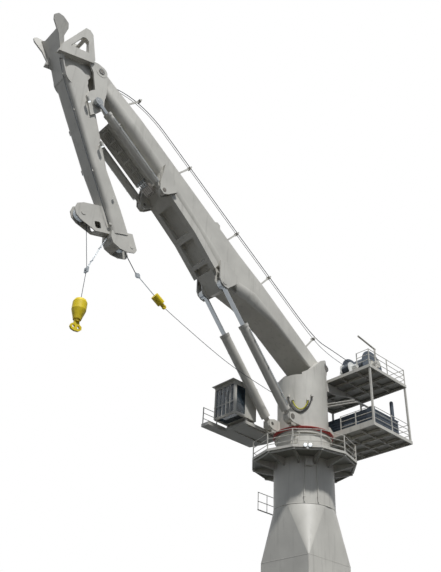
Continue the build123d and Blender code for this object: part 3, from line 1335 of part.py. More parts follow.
hinge_pin = 12
hinge_outer = 22
hinge_x = cabin_rear - 24
hinge_y = door_near - 44
hinge_levels = (door_low + 250, door_low + 1650)
knuckle = 60
with BuildPart() as door_hinges:
    for z in hinge_levels:
        axis_z = walkway_height + z
        rod((hinge_x, hinge_y, axis_z - knuckle), (hinge_x, hinge_y, axis_z + 2 * knuckle), hinge_pin)
        for low in (axis_z - knuckle, axis_z + knuckle + 0.3):
            rod((hinge_x, hinge_y, low), (hinge_x, hinge_y, low + knuckle - 0.3), hinge_outer)
            block((hinge_x, hinge_y - 15, low - walkway_height),
                  (cabin_rear, hinge_y + 15, low - walkway_height + knuckle - 0.3))
save(door_hinges, "door_hinges")
with BuildPart() as cabin_door:
    block((cabin_rear + 8, door_near + 8, door_low + 8),
          (cabin_rear + 48, door_near + door_width - 8, door_high - 8))
    block((cabin_rear - 14, door_near - 20, door_low - 20),
          (cabin_rear - 2, door_near + door_width + 20, door_high + 20))
    block((cabin_rear - 4, door_near + 20, door_low + 20),
          (cabin_rear + 10, door_near + door_width - 20, door_high - 20))
    block((cabin_rear - 15, door_near + 180, door_low + 950),
          (cabin_rear + 60, door_near + door_width - 180, door_high - 180),
          mode=Mode.SUBTRACT)
    block((cabin_rear + 22, door_near + 180, door_low + 950),
          (cabin_rear + 34, door_near + door_width - 180, door_high - 180))
    block((cabin_rear - 60, door_near + door_width - 110, door_low + 880),
          (cabin_rear - 10, door_near + door_width - 80, door_low + 1100))
    for z in hinge_levels:
        block((cabin_rear - 14, hinge_y, z), (cabin_rear - 2, door_near, z + knuckle))
        rod((hinge_x, hinge_y, walkway_height + z), (hinge_x, hinge_y, walkway_height + z + knuckle),
            hinge_outer)
        rod((hinge_x, hinge_y, walkway_height + z - 5), (hinge_x, hinge_y, walkway_height + z + knuckle + 5),
            hinge_pin + running_fit, mode=Mode.SUBTRACT)
save(cabin_door, "cabin_door")

print("boom length", round(boom_length), "slope", round(boom_slope, 3))
print("luff pin", luff_pin, "reach", round(luff_reach, 1), "slope", round(luff.x_dir.Z, 4))
print("jack foot", jack_foot, "pin", jack_pin, "reach", round(jack_reach, 1), "slope", round(jack_slope, 3))
print("nodes", len(os.listdir("parts")))
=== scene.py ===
import json
import math

import bmesh
import bpy
from mathutils import Matrix, Vector


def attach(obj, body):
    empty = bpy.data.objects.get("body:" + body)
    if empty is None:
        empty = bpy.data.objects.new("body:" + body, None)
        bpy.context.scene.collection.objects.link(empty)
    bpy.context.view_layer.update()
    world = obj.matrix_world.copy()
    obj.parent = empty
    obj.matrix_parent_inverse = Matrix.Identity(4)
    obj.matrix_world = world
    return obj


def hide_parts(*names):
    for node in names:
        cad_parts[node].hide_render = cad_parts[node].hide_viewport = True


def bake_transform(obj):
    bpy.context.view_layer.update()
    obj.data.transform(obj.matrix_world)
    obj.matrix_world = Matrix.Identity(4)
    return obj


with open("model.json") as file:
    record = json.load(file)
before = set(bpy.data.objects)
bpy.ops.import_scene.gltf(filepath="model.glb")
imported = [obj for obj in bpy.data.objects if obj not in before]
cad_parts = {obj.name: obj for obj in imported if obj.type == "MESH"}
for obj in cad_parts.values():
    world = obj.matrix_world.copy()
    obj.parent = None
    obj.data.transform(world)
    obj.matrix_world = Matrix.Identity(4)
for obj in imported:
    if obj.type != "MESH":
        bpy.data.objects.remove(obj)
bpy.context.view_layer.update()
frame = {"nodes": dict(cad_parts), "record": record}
print("frame loaded:", len(frame["nodes"]), "nodes")

# Offshore knuckle boom crane, metres, Z up. The boom points along +X and the crane's left is +Y.


# Camera: below the deck edge, looking up at the crane from its front left.

photoView = {
    "place": (31.45, 27.18, -8.46),
    "heading": 48.57,       # degrees from +X to the way back to the camera
    "pitch": 34.62,         # degrees up
    "roll": 3.27,           # degrees, the horizon drops to the right
    "lensMm": 44.96,        # on a 36 mm sensor along the long side
    "shiftUp": 0.0091,      # the photograph's centre sits a little above the lens axis
}


def makeCamera(view):
    heading, pitch, roll = (math.radians(view[k]) for k in ("heading", "pitch", "roll"))
    ahead = Vector((-math.cos(heading) * math.cos(pitch), -math.sin(heading) * math.cos(pitch),
                    math.sin(pitch)))
    right = ahead.cross(Vector((0, 0, 1))).normalized()
    up = right.cross(ahead)
    turnedRight = right * math.cos(roll) + up * math.sin(roll)
    turnedUp = up * math.cos(roll) - right * math.sin(roll)
    camera = bpy.data.objects.new("photoCamera", bpy.data.cameras.new("photoCamera"))
    bpy.context.scene.collection.objects.link(camera)
    axes = Matrix((turnedRight, turnedUp, -ahead)).transposed()
    camera.matrix_world = Matrix.Translation(view["place"]) @ axes.to_4x4()
    camera.data.sensor_width = 36
    camera.data.lens = view["lensMm"]
    camera.data.shift_y = view["shiftUp"]
    camera.data.clip_start = 0.5
    camera.data.clip_end = 2000
    bpy.context.scene.camera = camera


makeCamera(photoView)
print("camera set")


# Nodes and colours.

def linearColour(hexText):
    parts = [int(hexText[i:i + 2], 16) / 255 for i in (1, 3, 5)]
    return tuple(c / 12.92 if c <= 0.04045 else ((c + 0.055) / 1.055) ** 2.4 for c in parts) + (1.0,)


mixFirst, mixSecond, mixResult = 6, 7, 2      # the colour sockets of a Mix node, which share their names


def addNode(tree, kind, settings=None, links=None):
    # settings give properties and inputs, links give the socket that feeds an input, by name or by number
    node = tree.nodes.new(kind)
    for name, value in (settings or {}).items():
        if isinstance(name, int) or name in node.inputs:
            node.inputs[name].default_value = value
        else:
            setattr(node, name, value)
    for name, source in (links or {}).items():
        tree.links.new(source, node.inputs[name])
    return node


def directRays(tree):
    # 1 for what the camera sees itself, in a mirror or through glass
    rays = addNode(tree, "ShaderNodeLightPath")
    seen = addNode(tree, "ShaderNodeMath", {"operation": "MAXIMUM"},
                   {0: rays.outputs["Is Camera Ray"], 1: rays.outputs["Is Glossy Ray"]})
    return addNode(tree, "ShaderNodeMath", {"operation": "MAXIMUM"},
                   {0: seen.outputs["Value"], 1: rays.outputs["Is Transmission Ray"]}).outputs["Value"]


def emptyMaterial(name):
    material = bpy.data.materials.new(name)
    material.use_nodes = True
    material.node_tree.nodes.clear()
    return material, material.node_tree


def closeMaterial(tree, settings, links):
    shader = addNode(tree, "ShaderNodeBsdfPrincipled", settings, links)
    addNode(tree, "ShaderNodeOutputMaterial", links={"Surface": shader.outputs["BSDF"]})


def colourStops(tree, factor, stops):
    ramp = addNode(tree, "ShaderNodeValToRGB", links={"Fac": factor})
    band = ramp.color_ramp
    while len(band.elements) < len(stops):
        band.elements.new(0.5)
    for element, (place, colour) in zip(band.elements, stops):
        element.position = place
        element.color = colour
    return ramp.outputs["Color"]


# Finishes.

# rust, grime runs and chips are stains; the dark grey and the facing range paint shade onto faces that point
# down
weather = {
    "rust": "#7b4a2b", "paintedShadeColour": "#5a5a50",
    "runStretch": 0.09,             # grime runs are eleven times as long as they are wide
    "runFrom": 0.55, "runTo": 0.8, "chipFrom": 0.74, "chipTo": 0.8,
    "paintedShadeFrom": -0.98, "paintedShadeTo": -0.8, "peelDepth": 0.004}


def sprayedPaint(name, look):
    # Polyurethane topcoat sprayed over primed steel plate: an even satin colour that chalks in soft clouds,
    # runs with grime below the edges where rain leaves it, and freckles with rust where it is chipped.
    # A painted shade darkens the faces that point down, as far as the look's share allows.
    material, tree = emptyMaterial(name)
    place = addNode(tree, "ShaderNodeTexCoord").outputs["Object"]
    cloud = addNode(tree, "ShaderNodeTexNoise",
                    {"Scale": 1000 / look["cloudMm"], "Detail": 4.0, "Roughness": 0.55}, {"Vector": place})
    chalked = colourStops(tree, cloud.outputs["Fac"],
                          [(0.3, linearColour(look["shade"])), (0.68, linearColour(look["colour"]))])
    stretched = addNode(tree, "ShaderNodeMapping", {"Scale": (1.0, 1.0, weather["runStretch"])},
                        {"Vector": place})
    streak = addNode(tree, "ShaderNodeTexNoise",
                     {"Scale": 1000 / look["streakMm"], "Detail": 5.0, "Roughness": 0.6},
                     {"Vector": stretched.outputs["Vector"]})
    run = addNode(tree, "ShaderNodeMapRange",
                  {"From Min": weather["runFrom"], "From Max": weather["runTo"], "To Min": 0.0,
                   "To Max": look["grimeShare"]}, {"Value": streak.outputs["Fac"]})
    grimed = addNode(tree, "ShaderNodeMix", {"data_type": "RGBA", mixSecond: linearColour(look["grime"])},
                     {"Factor": run.outputs["Result"], mixFirst: chalked})
    freckle = addNode(tree, "ShaderNodeTexNoise",
                      {"Scale": 1000 / look["chipMm"], "Detail": 3.0, "Roughness": 0.7}, {"Vector": place})
    chip = addNode(tree, "ShaderNodeMapRange",
                   {"From Min": weather["chipFrom"], "From Max": weather["chipTo"], "To Min": 0.0,
                    "To Max": look["chipShare"]}, {"Value": freckle.outputs["Fac"]})
    rusted = addNode(tree, "ShaderNodeMix", {"data_type": "RGBA", mixSecond: linearColour(weather["rust"])},
                     {"Factor": chip.outputs["Result"], mixFirst: grimed.outputs[mixResult]})
    # painted shade: faces that point down are darkened towards a dark grey, standing in for the shade under
    # decks and plates
    facing = addNode(tree, "ShaderNodeSeparateXYZ",
                     links={"Vector": addNode(tree, "ShaderNodeNewGeometry").outputs["Normal"]})
    soffit = addNode(tree, "ShaderNodeMapRange",
                     {"From Min": weather["paintedShadeFrom"], "From Max": weather["paintedShadeTo"],
                      "To Min": look["soffitShare"], "To Max": 0.0}, {"Value": facing.outputs["Z"]})
    paintedShadeMixed = addNode(tree, "ShaderNodeMix", {"data_type": "RGBA", mixSecond: linearColour(weather["paintedShadeColour"])},
                     {"Factor": soffit.outputs["Result"], mixFirst: rusted.outputs[mixResult]})
    gloss = addNode(tree, "ShaderNodeMapRange",
                    {"From Min": 0.3, "From Max": 0.7, "To Min": look["roughness"] + 0.05,
                     "To Max": look["roughness"] - 0.02}, {"Value": cloud.outputs["Fac"]})
    peel = addNode(tree, "ShaderNodeTexNoise",
                   {"Scale": 1000 / look["peelMm"], "Detail": 2.0, "Roughness": 0.5}, {"Vector": place})
    bump = addNode(tree, "ShaderNodeBump", {"Strength": look["bump"], "Distance": weather["peelDepth"]},
                   {"Height": peel.outputs["Fac"]})
    closeMaterial(tree, {"IOR": 1.5},
                  {"Base Color": paintedShadeMixed.outputs[mixResult], "Roughness": gloss.outputs["Result"],
                   "Normal": bump.outputs["Normal"]})
    return material


def bareMetal(name, look):
    # Worked steel: a metal whose tool marks or zinc crystals break up its reflections.
    material, tree = emptyMaterial(name)
    place = addNode(tree, "ShaderNodeTexCoord").outputs["Object"]
    marks = addNode(tree, "ShaderNodeMapping", {"Scale": look["markStretch"]}, {"Vector": place})
    grain = addNode(tree, "ShaderNodeTexNoise",
                    {"Scale": 1000 / look["markMm"], "Detail": 4.0, "Roughness": 0.6},
                    {"Vector": marks.outputs["Vector"]})
    tone = colourStops(tree, grain.outputs["Fac"],
                       [(0.3, linearColour(look["dark"])), (0.7, linearColour(look["light"]))])
    gloss = addNode(tree, "ShaderNodeMapRange",
                    {"From Min": 0.3, "From Max": 0.7, "To Min": look["roughness"] - 0.08,
                     "To Max": look["roughness"] + 0.1}, {"Value": grain.outputs["Fac"]})
    bump = addNode(tree, "ShaderNodeBump", {"Strength": look["bump"], "Distance": 0.002},
                   {"Height": grain.outputs["Fac"]})
    closeMaterial(tree, {"Metallic": look["metallic"]},
                  {"Base Color": tone, "Roughness": gloss.outputs["Result"],
                   "Normal": bump.outputs["Normal"]})
    return material


def zincSpangle(name, look):
    # Hot dip galvanised steel: dull grey crystals a few centimetres across.
    material, tree = emptyMaterial(name)
    place = addNode(tree, "ShaderNodeTexCoord").outputs["Object"]
    crystal = addNode(tree, "ShaderNodeTexVoronoi", {"Scale": 1000 / look["crystalMm"]}, {"Vector": place})
    tone = colourStops(tree, crystal.outputs["Color"],
                       [(0.1, linearColour(look["dark"])), (0.9, linearColour(look["light"]))])
    gloss = addNode(tree, "ShaderNodeMapRange",
                    {"To Min": look["roughness"] - 0.1, "To Max": look["roughness"] + 0.1},
                    {"Value": crystal.outputs["Distance"]})
    closeMaterial(tree, {"Metallic": 0.85}, {"Base Color": tone, "Roughness": gloss.outputs["Result"]})
    return material


def floatGlass(name, look):
    # Tinted laminated safety glass: dark and clear, with a thin film of salt that dulls patches of it.
    material, tree = emptyMaterial(name)
    place = addNode(tree, "ShaderNodeTexCoord").outputs["Object"]
    salt = addNode(tree, "ShaderNodeTexNoise",
                   {"Scale": 1000 / look["saltMm"], "Detail": 5.0, "Roughness": 0.65}, {"Vector": place})
    haze = addNode(tree, "ShaderNodeMapRange",
                   {"From Min": 0.45, "From Max": 0.75, "To Min": 0.02, "To Max": 0.14},
                   {"Value": salt.outputs["Fac"]})
    tint = colourStops(tree, salt.outputs["Fac"],
                       [(0.4, linearColour(look["tint"])), (0.8, linearColour(look["saltTint"]))])
    closeMaterial(tree, {"IOR": 1.52, "Transmission Weight": look["clear"],
                         "Emission Color": linearColour(look["tint"]),
                         "Emission Strength": look.get("glow", 0.0)},
                  {"Base Color": tint, "Roughness": haze.outputs["Result"]})
    return material


def wrappedRubber(name, look):
    # Rubber or vinyl cured in a cloth wrap: matt, with a faint diagonal print of the cloth.
    material, tree = emptyMaterial(name)
    place = addNode(tree, "ShaderNodeTexCoord").outputs["Object"]
    # at this scale the bands of the print lie 2.3 times wrapMm apart
    wrap = addNode(tree, "ShaderNodeTexWave",
                   {"Scale": 1000 / look["wrapMm"] / 6.28, "Distortion": 1.5, "bands_direction": "DIAGONAL"},
                   {"Vector": place})
    dust = addNode(tree, "ShaderNodeTexNoise", {"Scale": 1000 / look["dustMm"], "Detail": 4.0},
                   {"Vector": place})
    tone = colourStops(tree, dust.outputs["Fac"],
                       [(0.35, linearColour(look["colour"])), (0.75, linearColour(look["dust"]))])
    bump = addNode(tree, "ShaderNodeBump", {"Strength": 0.35, "Distance": 0.002},
                   {"Height": wrap.outputs["Fac"]})
    closeMaterial(tree, {"Roughness": look["roughness"]},
                  {"Base Color": tone, "Normal": bump.outputs["Normal"]})
    return material


# the last setting is how much painted shade darkens faces that point down
def topcoatLook(colour, shade, **changes):
    look = {"colour": colour, "shade": shade, "grime": "#5d584e", "cloudMm": 1600, "streakMm": 260,
            "grimeShare": 0.35, "chipMm": 70, "chipShare": 0.5, "peelMm": 45, "bump": 0.06, "roughness": 0.5,
            "soffitShare": 0.0}
    look.update(changes)
    return look


greyShades = ("#c3c0b7", "#b3b0a8")
greyTopcoat = sprayedPaint("sprayedPolyurethaneGrey", topcoatLook(*greyShades))
# deck plates: the same grey, with a painted shade on their undersides
deckTopcoatWithPaintedShade = sprayedPaint("sprayedPolyurethaneDeckGreyPaintedShade", topcoatLook(*greyShades, soffitShare=0.85))
redTopcoat = sprayedPaint("brushedAlkydRed", topcoatLook("#9c3227", "#7f2a22", cloudMm=500, grimeShare=0.5))
whiteTopcoat = sprayedPaint("sprayedEpoxyWhite", topcoatLook("#dcdcd8", "#c9cac6", cloudMm=500))
blueGreyTopcoat = sprayedPaint("sprayedEpoxyBlueGrey", topcoatLook("#434e5a", "#343d47", cloudMm=600))
yellowTopcoat = sprayedPaint("brushedEnamelYellow", topcoatLook(
    "#e6cd0e", "#d2b80b", cloudMm=260, streakMm=90, chipMm=30, grimeShare=0.4))
greasedSteel = bareMetal("milledSteelGreased", {
    "dark": "#4a4744", "light": "#8b8781", "markMm": 40, "markStretch": (1, 1, 6), "roughness": 0.42,
    "metallic": 0.9, "bump": 0.2})
groundChrome = bareMetal("groundHardChrome", {
    "dark": "#85898c", "light": "#a3a7aa", "markMm": 25, "markStretch": (1, 1, 1), "roughness": 0.18,
    "metallic": 1.0, "bump": 0.03})
strandSteel = bareMetal("drawnWireGalvanised", {
    "dark": "#1d2126", "light": "#4c5258", "markMm": 18, "markStretch": (1, 1, 1), "roughness": 0.5,
    "metallic": 0.75, "bump": 0.3})
riggingSteel = zincSpangle("forgedSteelGalvanised",
                           {"dark": "#7f858a", "light": "#a9aeb1", "crystalMm": 30, "roughness": 0.45})
cabGlass = floatGlass("tintedSafetyGlass", {
    "tint": "#3d5362", "saltTint": "#7d8b94", "saltMm": 160, "clear": 0.8})
# the lamps are lit
lampGlass = floatGlass("pressedLampGlass", {
    "tint": "#eef3f6", "saltTint": "#ffffff", "saltMm": 60, "clear": 0.1, "glow": 0.8})
hoseRubber = wrappedRubber("wrapCuredRubber", {
    "colour": "#17181a", "dust": "#3c3b38", "wrapMm": 24, "dustMm": 120, "roughness": 0.7})
sleeveYellow = wrappedRubber("wovenSleeveYellow", {
    "colour": "#b9b42c", "dust": "#8f8a3a", "wrapMm": 18, "dustMm": 90, "roughness": 0.75})
seatVinyl = wrappedRubber("wovenSeatVinyl", {
    "colour": "#20242a", "dust": "#33373c", "wrapMm": 8, "dustMm": 60, "roughness": 0.6})

finishes = {
    "grey_paint": greyTopcoat, "gear_steel": greasedSteel, "red_paint": redTopcoat,
    "white_paint": whiteTopcoat, "blue_grey_paint": blueGreyTopcoat, "rod_chrome": groundChrome,
    "cabin_glass": cabGlass, "hose_rubber": hoseRubber, "wire_rope": strandSteel,
    "rigging_steel": riggingSteel, "yellow_paint": yellowTopcoat}

slotOfNode = {part["node"]: part["material_slot"] for part in frame["record"]["subparts"]}
# the deck plates take the topcoat with painted shade underneath
deckNodes = ("walkway_deck", "machinery_decks", "cabin_platform")
for nodeName, nodeObject in frame["nodes"].items():
    finish = deckTopcoatWithPaintedShade if nodeName in deckNodes else finishes[slotOfNode[nodeName]]
    if not nodeObject.material_slots:
        nodeObject.data.materials.append(finish)
    for materialSlot in nodeObject.material_slots:
        materialSlot.material = finish
print("finishes on", len(frame["nodes"]), "nodes")


# Pieces.

def addPiece(name, data, finish, body):
    piece = bpy.data.objects.new(name, data)
    bpy.context.scene.collection.objects.link(piece)
    data.materials.append(finish)
    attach(piece, body)
    return piece


def meshFrom(work, name, smooth=False):
    bmesh.ops.recalc_face_normals(work, faces=work.faces)
    mesh = bpy.data.meshes.new(name)
    for face in work.faces:
        face.smooth = smooth
    work.to_mesh(mesh)
    work.free()
    return mesh


def addBlock(work, matrix, edge, segments=2):
    # a block with its edges rounded off
    block = bmesh.ops.create_cube(work, size=1, matrix=matrix)
    edges = list(dict.fromkeys(e for v in block["verts"] for e in v.link_edges))
    bmesh.ops.bevel(work, geom=edges, offset=edge, segments=segments, affect="EDGES")


def turnTowards(direction):
    # turns +Z to the given direction
    return Vector((0, 0, 1)).rotation_difference(Vector(direction).normalized()).to_matrix().to_4x4()


def sideTurn(point):
    # turns X along an inclined frame and Y to the crane's left
    along = point(1, 0) - point(0, 0)
    left = Vector((0, 1, 0))
    return Matrix((along, left, along.cross(left))).transposed().to_4x4()


def inclinedFrame(x, z, angle):
    # a side view frame: point(along, up, left) in it gives a place in the crane
    c, s = math.cos(math.radians(angle)), math.sin(math.radians(angle))

    def point(along, up, left=0.0):
        return Vector((x + along * c - up * s, left, z + along * s + up * c))
    return point


boomPoint = inclinedFrame(-0.8, 14.05, 32.869)
jibPoint = inclinedFrame(18.7, 26.65, -111.2)
luffPoint = inclinedFrame(2.15, 9.75, 48.22)
jackPoint = inclinedFrame(*[boomPoint(15.3, -2.42)[i] for i in (0, 2)], 33.98)


# Ropes: six strands laid round a core, each rope along one smooth route.

def splineThrough(name, route):
    data = bpy.data.curves.new(name, "CURVE")
    data.dimensions = "3D"
    spline = data.splines.new("NURBS")
    spline.points.add(len(route) - 1)
    for point, place in zip(spline.points, route):
        point.co = (*place, 1)
    spline.order_u = 3
    spline.use_endpoint_u = True
    spline.resolution_u = 24
    return data


def centreLine(route):
    data = splineThrough("routeLine", route)
    holder = bpy.data.objects.new("routeLine", data)
    bpy.context.scene.collection.objects.link(holder)
    bpy.context.view_layer.update()
    line = bpy.data.meshes.new_from_object(holder.evaluated_get(bpy.context.evaluated_depsgraph_get()))
    points = [v.co.copy() for v in line.vertices]
    bpy.data.objects.remove(holder)
    bpy.data.curves.remove(data)
    bpy.data.meshes.remove(line)
    return points


def evenSteps(points, step):
    total = sum((b - a).length for a, b in zip(points, points[1:]))
    count = max(2, round(total / step))
    places, walked, index = [points[0]], 0.0, 0
    for k in range(1, count):
        target = total * k / count
        while walked + (points[index + 1] - points[index]).length < target:
            walked += (points[index + 1] - points[index]).length
            index += 1
        run = points[index + 1] - points[index]
        places.append(points[index] + run * ((target - walked) / run.length))
    return places + [points[-1]], total


strand = {"count": 6, "facets": 3, "layShare": 6.5, "ringsPerLay": 12, "crown": 0.07}


def layRope(name, rope):
    line = centreLine(rope["route"])
    radius = rope["diameter"] / 2
    layLength = rope["diameter"] * strand["layShare"]         # one turn of a strand
    rings, length = evenSteps(line, layLength / strand["ringsPerLay"])
    work = bmesh.new()
    sides = strand["count"] * strand["facets"]
    side = Vector((0, 1, 0))
    previous = None
    for k, place in enumerate(rings):
        ahead = (rings[min(k + 1, len(rings) - 1)] - rings[max(k - 1, 0)]).normalized()
        side = (side - ahead * side.dot(ahead)).normalized()
        over = ahead.cross(side)
        twist = 2 * math.pi * k / strand["ringsPerLay"]
        ring = []
        for j in range(sides):
            around = 2 * math.pi * j / sides + twist          # the crowns turn with the lay
            crown = math.cos(2 * math.pi * j / strand["facets"])
            reach = radius * (1 - strand["crown"] + strand["crown"] * crown)
            ring.append(work.verts.new(place + (side * math.cos(around) + over * math.sin(around)) * reach))
        if previous:
            for j in range(sides):
                work.faces.new((previous[j], previous[(j + 1) % sides], ring[(j + 1) % sides], ring[j]))
        else:
            work.faces.new(ring)
        previous = ring
    work.faces.new(previous)
    piece = bpy.data.objects.new(name, meshFrom(work, name, smooth=True))
    bpy.context.scene.collection.objects.link(piece)
    piece.data.materials.append(strandSteel)
    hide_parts(rope["node"])
    if "blend" in rope:
        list(rope["blend"])
        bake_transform(piece)
    else:
        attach(piece, rope["body"])
    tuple(rope["route"][0])
    [frame["nodes"][node] for node in rope.get("endPieces", [])]


ropes = {
    "boomHoistRope": {
        "node": "boom_main_rope", "diameter": 0.052, "farEnd": "object",
        "blend": ("column", "boom", (-1.9, 1.09, 15.95), (-0.104, 1.014, 16.124)),
        "route": [(-4.05, 1.25, 15.606), (-1.9, 1.09, 15.95), (-0.104, 1.014, 16.124), (4.103, 0.944, 18.936),
                  (7.073, 0.894, 20.881), (11.401, 0.894, 23.672), (15.633, 0.704, 26.686),
                  (17.48, 0.42, 26.481)]},
    "boomWhipRope": {
        "node": "boom_whip_rope", "diameter": 0.036, "farEnd": "object",
        "blend": ("column", "boom", (-1.25, 1.45, 15.05), (-0.1, 0.886, 16.118)),
        "route": [(-1.95, 2.1, 14.378), (-1.25, 1.45, 15.05), (-0.1, 0.886, 16.118), (4.106, 0.816, 18.932),
                  (7.076, 0.766, 20.877), (11.404, 0.766, 23.668), (15.638, 0.576, 26.678),
                  (17.48, 0.26, 26.481)]},
    "jibBackRope": {
        "node": "jib_rope", "diameter": 0.036, "farEnd": "object", "body": "jib",
        "route": [(21.306, 0.41, 25.854), (20.928, 0.41, 24.767), (19.761, 0.41, 22.699),
                  (17.866, 0.41, 19.251), (16.234, 0.41, 16.398)]},
    "whipFall": {
        "node": "whip_rope", "diameter": 0.036, "farEnd": "fitting", "body": "jib",
        "endPieces": ["whip_strop"],
        "route": [(17.351, 0, 16.093), (17.0755, 0, 14.6715), (16.8, 0, 13.25)]},
    "ballPendant": {
        "node": "ball_rope", "diameter": 0.036, "farEnd": "fitting", "body": "ball",
        "endPieces": ["overhaul_ball"],
        "route": [(16.8, 0, 13.05), (16.8, 0, 12.2), (16.8, 0, 11.35)]},
    "mainFall": {
        "node": "main_rope", "diameter": 0.052, "farEnd": "fitting", "body": "jib",
        "endPieces": ["main_hook_link"],
        "route": [(14.63, 0, 15.465), (14.211, 0, 15.0105), (13.792, 0, 14.556)]},
    "hookTagLine": {
        "node": "tag_line", "diameter": 0.036, "farEnd": "object", "body": "column",
        "route": [(11.495, 0, 13.308), (8.2, 0, 12.25), (5.0, 0, 11.58), (1.61, 0, 11.3)]},
}
for ropeName, rope in ropes.items():
    layRope(ropeName, rope)
print("ropes laid:", len(ropes))


# Hydraulic hoses looped on the column's front.

hoses = {
    "outerLoopHose": {
        "finish": hoseRubber,
        "route": [(1.649, 0.261, 11.45), (1.62, 0.404, 10.75), (1.384, 0.934, 10.22), (0.934, 1.384, 10.7),
                  (0.784, 1.475, 11.4)]},
    "innerLoopHose": {
        "finish": sleeveYellow,
        "route": [(1.569, 0.571, 11.15), (1.526, 0.679, 10.75), (1.334, 1.005, 10.45), (1.096, 1.26, 10.7),
                  (1.005, 1.334, 11.1)]},
}
hoseDiameter = 0.08
for hoseName, hose in hoses.items():
    hoseCurve = splineThrough(hoseName, hose["route"])
    hoseCurve.bevel_depth = hoseDiameter / 2
    hoseCurve.bevel_resolution = 6
    hoseCurve.use_fill_caps = True
    hosePiece = addPiece(hoseName, hoseCurve, hose["finish"], "column")
    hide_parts("column_hoses")
    hoseLine = centreLine(hose["route"])
    hoseLength = sum((b - a).length for a, b in zip(hoseLine, hoseLine[1:]))
    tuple(hose["route"][0])
print("hoses hung:", len(hoses))


# Rope wound on the drums: a lathe profile with one round for each turn of rope.

windings = {
    "mainDrumWinding": {
        "body": "main_drum", "x": -4.0, "z": 15.0, "core": 0.58, "diameter": 0.052,
        "layers": [(1.11, 2.69), (1.33, 2.66), (1.38, 2.63)]},
    "whipDrumWinding": {
        "body": "whip_drum", "x": -1.95, "z": 14.11, "core": 0.25, "diameter": 0.036,
        "layers": [(1.955, 2.545), (2.16, 2.53), (2.19, 2.5)]},
}


windingMesh = {"around": 56, "facets": 5, "bed": 0.87, "tuck": 0.004}


def windDrum(name, winding):
    work = bmesh.new()
    across, around, facets = winding["diameter"], windingMesh["around"], windingMesh["facets"]
    inner = winding["core"] - windingMesh["tuck"]
    for depth, (first, last) in enumerate(winding["layers"]):
        base = winding["core"] + depth * across * windingMesh["bed"]        # a layer beds into the one below
        turns = int((last - first) / across)
        profile = [(first, inner)]
        for turn in range(turns):
            for k in range(facets):
                angle = math.pi * k / (facets - 1)
                profile.append((first + (turn + 0.5 - 0.5 * math.cos(angle)) * across,
                                base + across * (0.5 + 0.5 * math.sin(angle))))
        profile.append((first + turns * across, inner))
        rings = []
        for k in range(around):
            a = 2 * math.pi * k / around
            rings.append([work.verts.new((winding["x"] + r * math.cos(a), y, winding["z"] + r * math.sin(a)))
                          for y, r in profile])
        for k in range(around):
            here, there = rings[k], rings[(k + 1) % around]
            for j in range(len(profile) - 1):
                work.faces.new((here[j], here[j + 1], there[j + 1], there[j]))
    addPiece(name, meshFrom(work, name, smooth=True), strandSteel, winding["body"])


for windingName, winding in windings.items():
    windDrum(windingName, winding)
print("drums wound:", len(windings))


# Bolts: a hexagon head on a washer, with a short thread end.

boltSteps = [(1.1, 0.0, 0.15, 16), (0.9, 0.15, 0.8, 6), (0.5, 0.8, 1.1, 12)]     # radius, from, to, sides


def addBolt(work, place, outward, size):
    for share, low, high, sides in boltSteps:
        middle = Matrix.Translation((0, 0, size * (low + high) / 2))
        at = Matrix.Translation(place) @ turnTowards(outward) @ middle
        radius = size * share
        bmesh.ops.create_cone(work, cap_ends=True, segments=sides, radius1=radius, radius2=radius * 0.94,
                              depth=size * (high - low), matrix=at)


def boltPiece(name, bolts, size, body):
    work = bmesh.new()
    for place, outward in bolts:
        addBolt(work, place, outward, size)
    addPiece(name, meshFrom(work, name), riggingSteel, body)


def boltCircle(centre, outward, radius, count):
    outward = Vector(outward).normalized()
    side = outward.orthogonal().normalized()
    over = outward.cross(side)
    return [(Vector(centre) + (side * math.cos(a) + over * math.sin(a)) * radius, outward)
            for a in (2 * math.pi * k / count for k in range(count))]


boltRings = {
    "slewRingBolts": {"body": "pedestal", "count": 72, "radius": 1.695, "size": 0.036,
                      "centres": [((0, 0, 9.06), (0, 0, -1))]},
    "footPinBolts": {"body": "column", "count": 8, "radius": 0.19, "size": 0.032,
                     "centres": [((-0.8, 1.36, 14.05), (0, 1, 0)), ((-0.8, -1.36, 14.05), (0, -1, 0))]},
    "knucklePinBolts": {"body": "boom", "count": 8, "radius": 0.15, "size": 0.028,
                        "centres": [((18.7, 0.785, 26.65), (0, 1, 0)), ((18.7, -0.785, 26.65), (0, -1, 0))]},
}
for ringName, ring in boltRings.items():
    ringBolts = [bolt for centre, outward in ring["centres"]
                 for bolt in boltCircle(centre, outward, ring["radius"], ring["count"])]
    boltPiece(ringName, ringBolts, ring["size"], ring["body"])
print("bolts in place:", len(boltRings), "sets")


# The trunk's shell: flat plates and corner cones that meet in crisp folded edges, on a bolted foot flange.

trunk = {
    "halfBase": 1.775, "corner": 0.06, "foldLevel": 1.8, "headLevel": 4.7, "headRadius": 1.8, "flatAngle": 9,
    "flangeHalf": 1.975, "flangeThickness": 0.06, "seamWidth": 0.024, "seamHeight": 0.007, "cornerSteps": 24,
    "flangeEdge": 0.006, "boltLine": 1.885, "boltsPerSide": 6, "boltSize": 0.034,
    "creaseDegrees": 4.5}           # between a step round a cone and the fold beside a flat


def squareLoop(work, look, level, swell=0.0):
    # the square's four rounded corners, anticlockwise from the one between +X and +Y
    edge = look["halfBase"] + swell
    centre = edge - look["corner"]
    steps = look["cornerSteps"]
    loop = []
    for turn in range(4):
        for k in range(steps + 1):
            a = math.pi / 2 * k / steps
            spot = Vector((centre + look["corner"] * math.cos(a), centre + look["corner"] * math.sin(a),
                           level))
            loop.append(work.verts.new(Matrix.Rotation(math.pi / 2 * turn, 3, "Z") @ spot))
    return loop


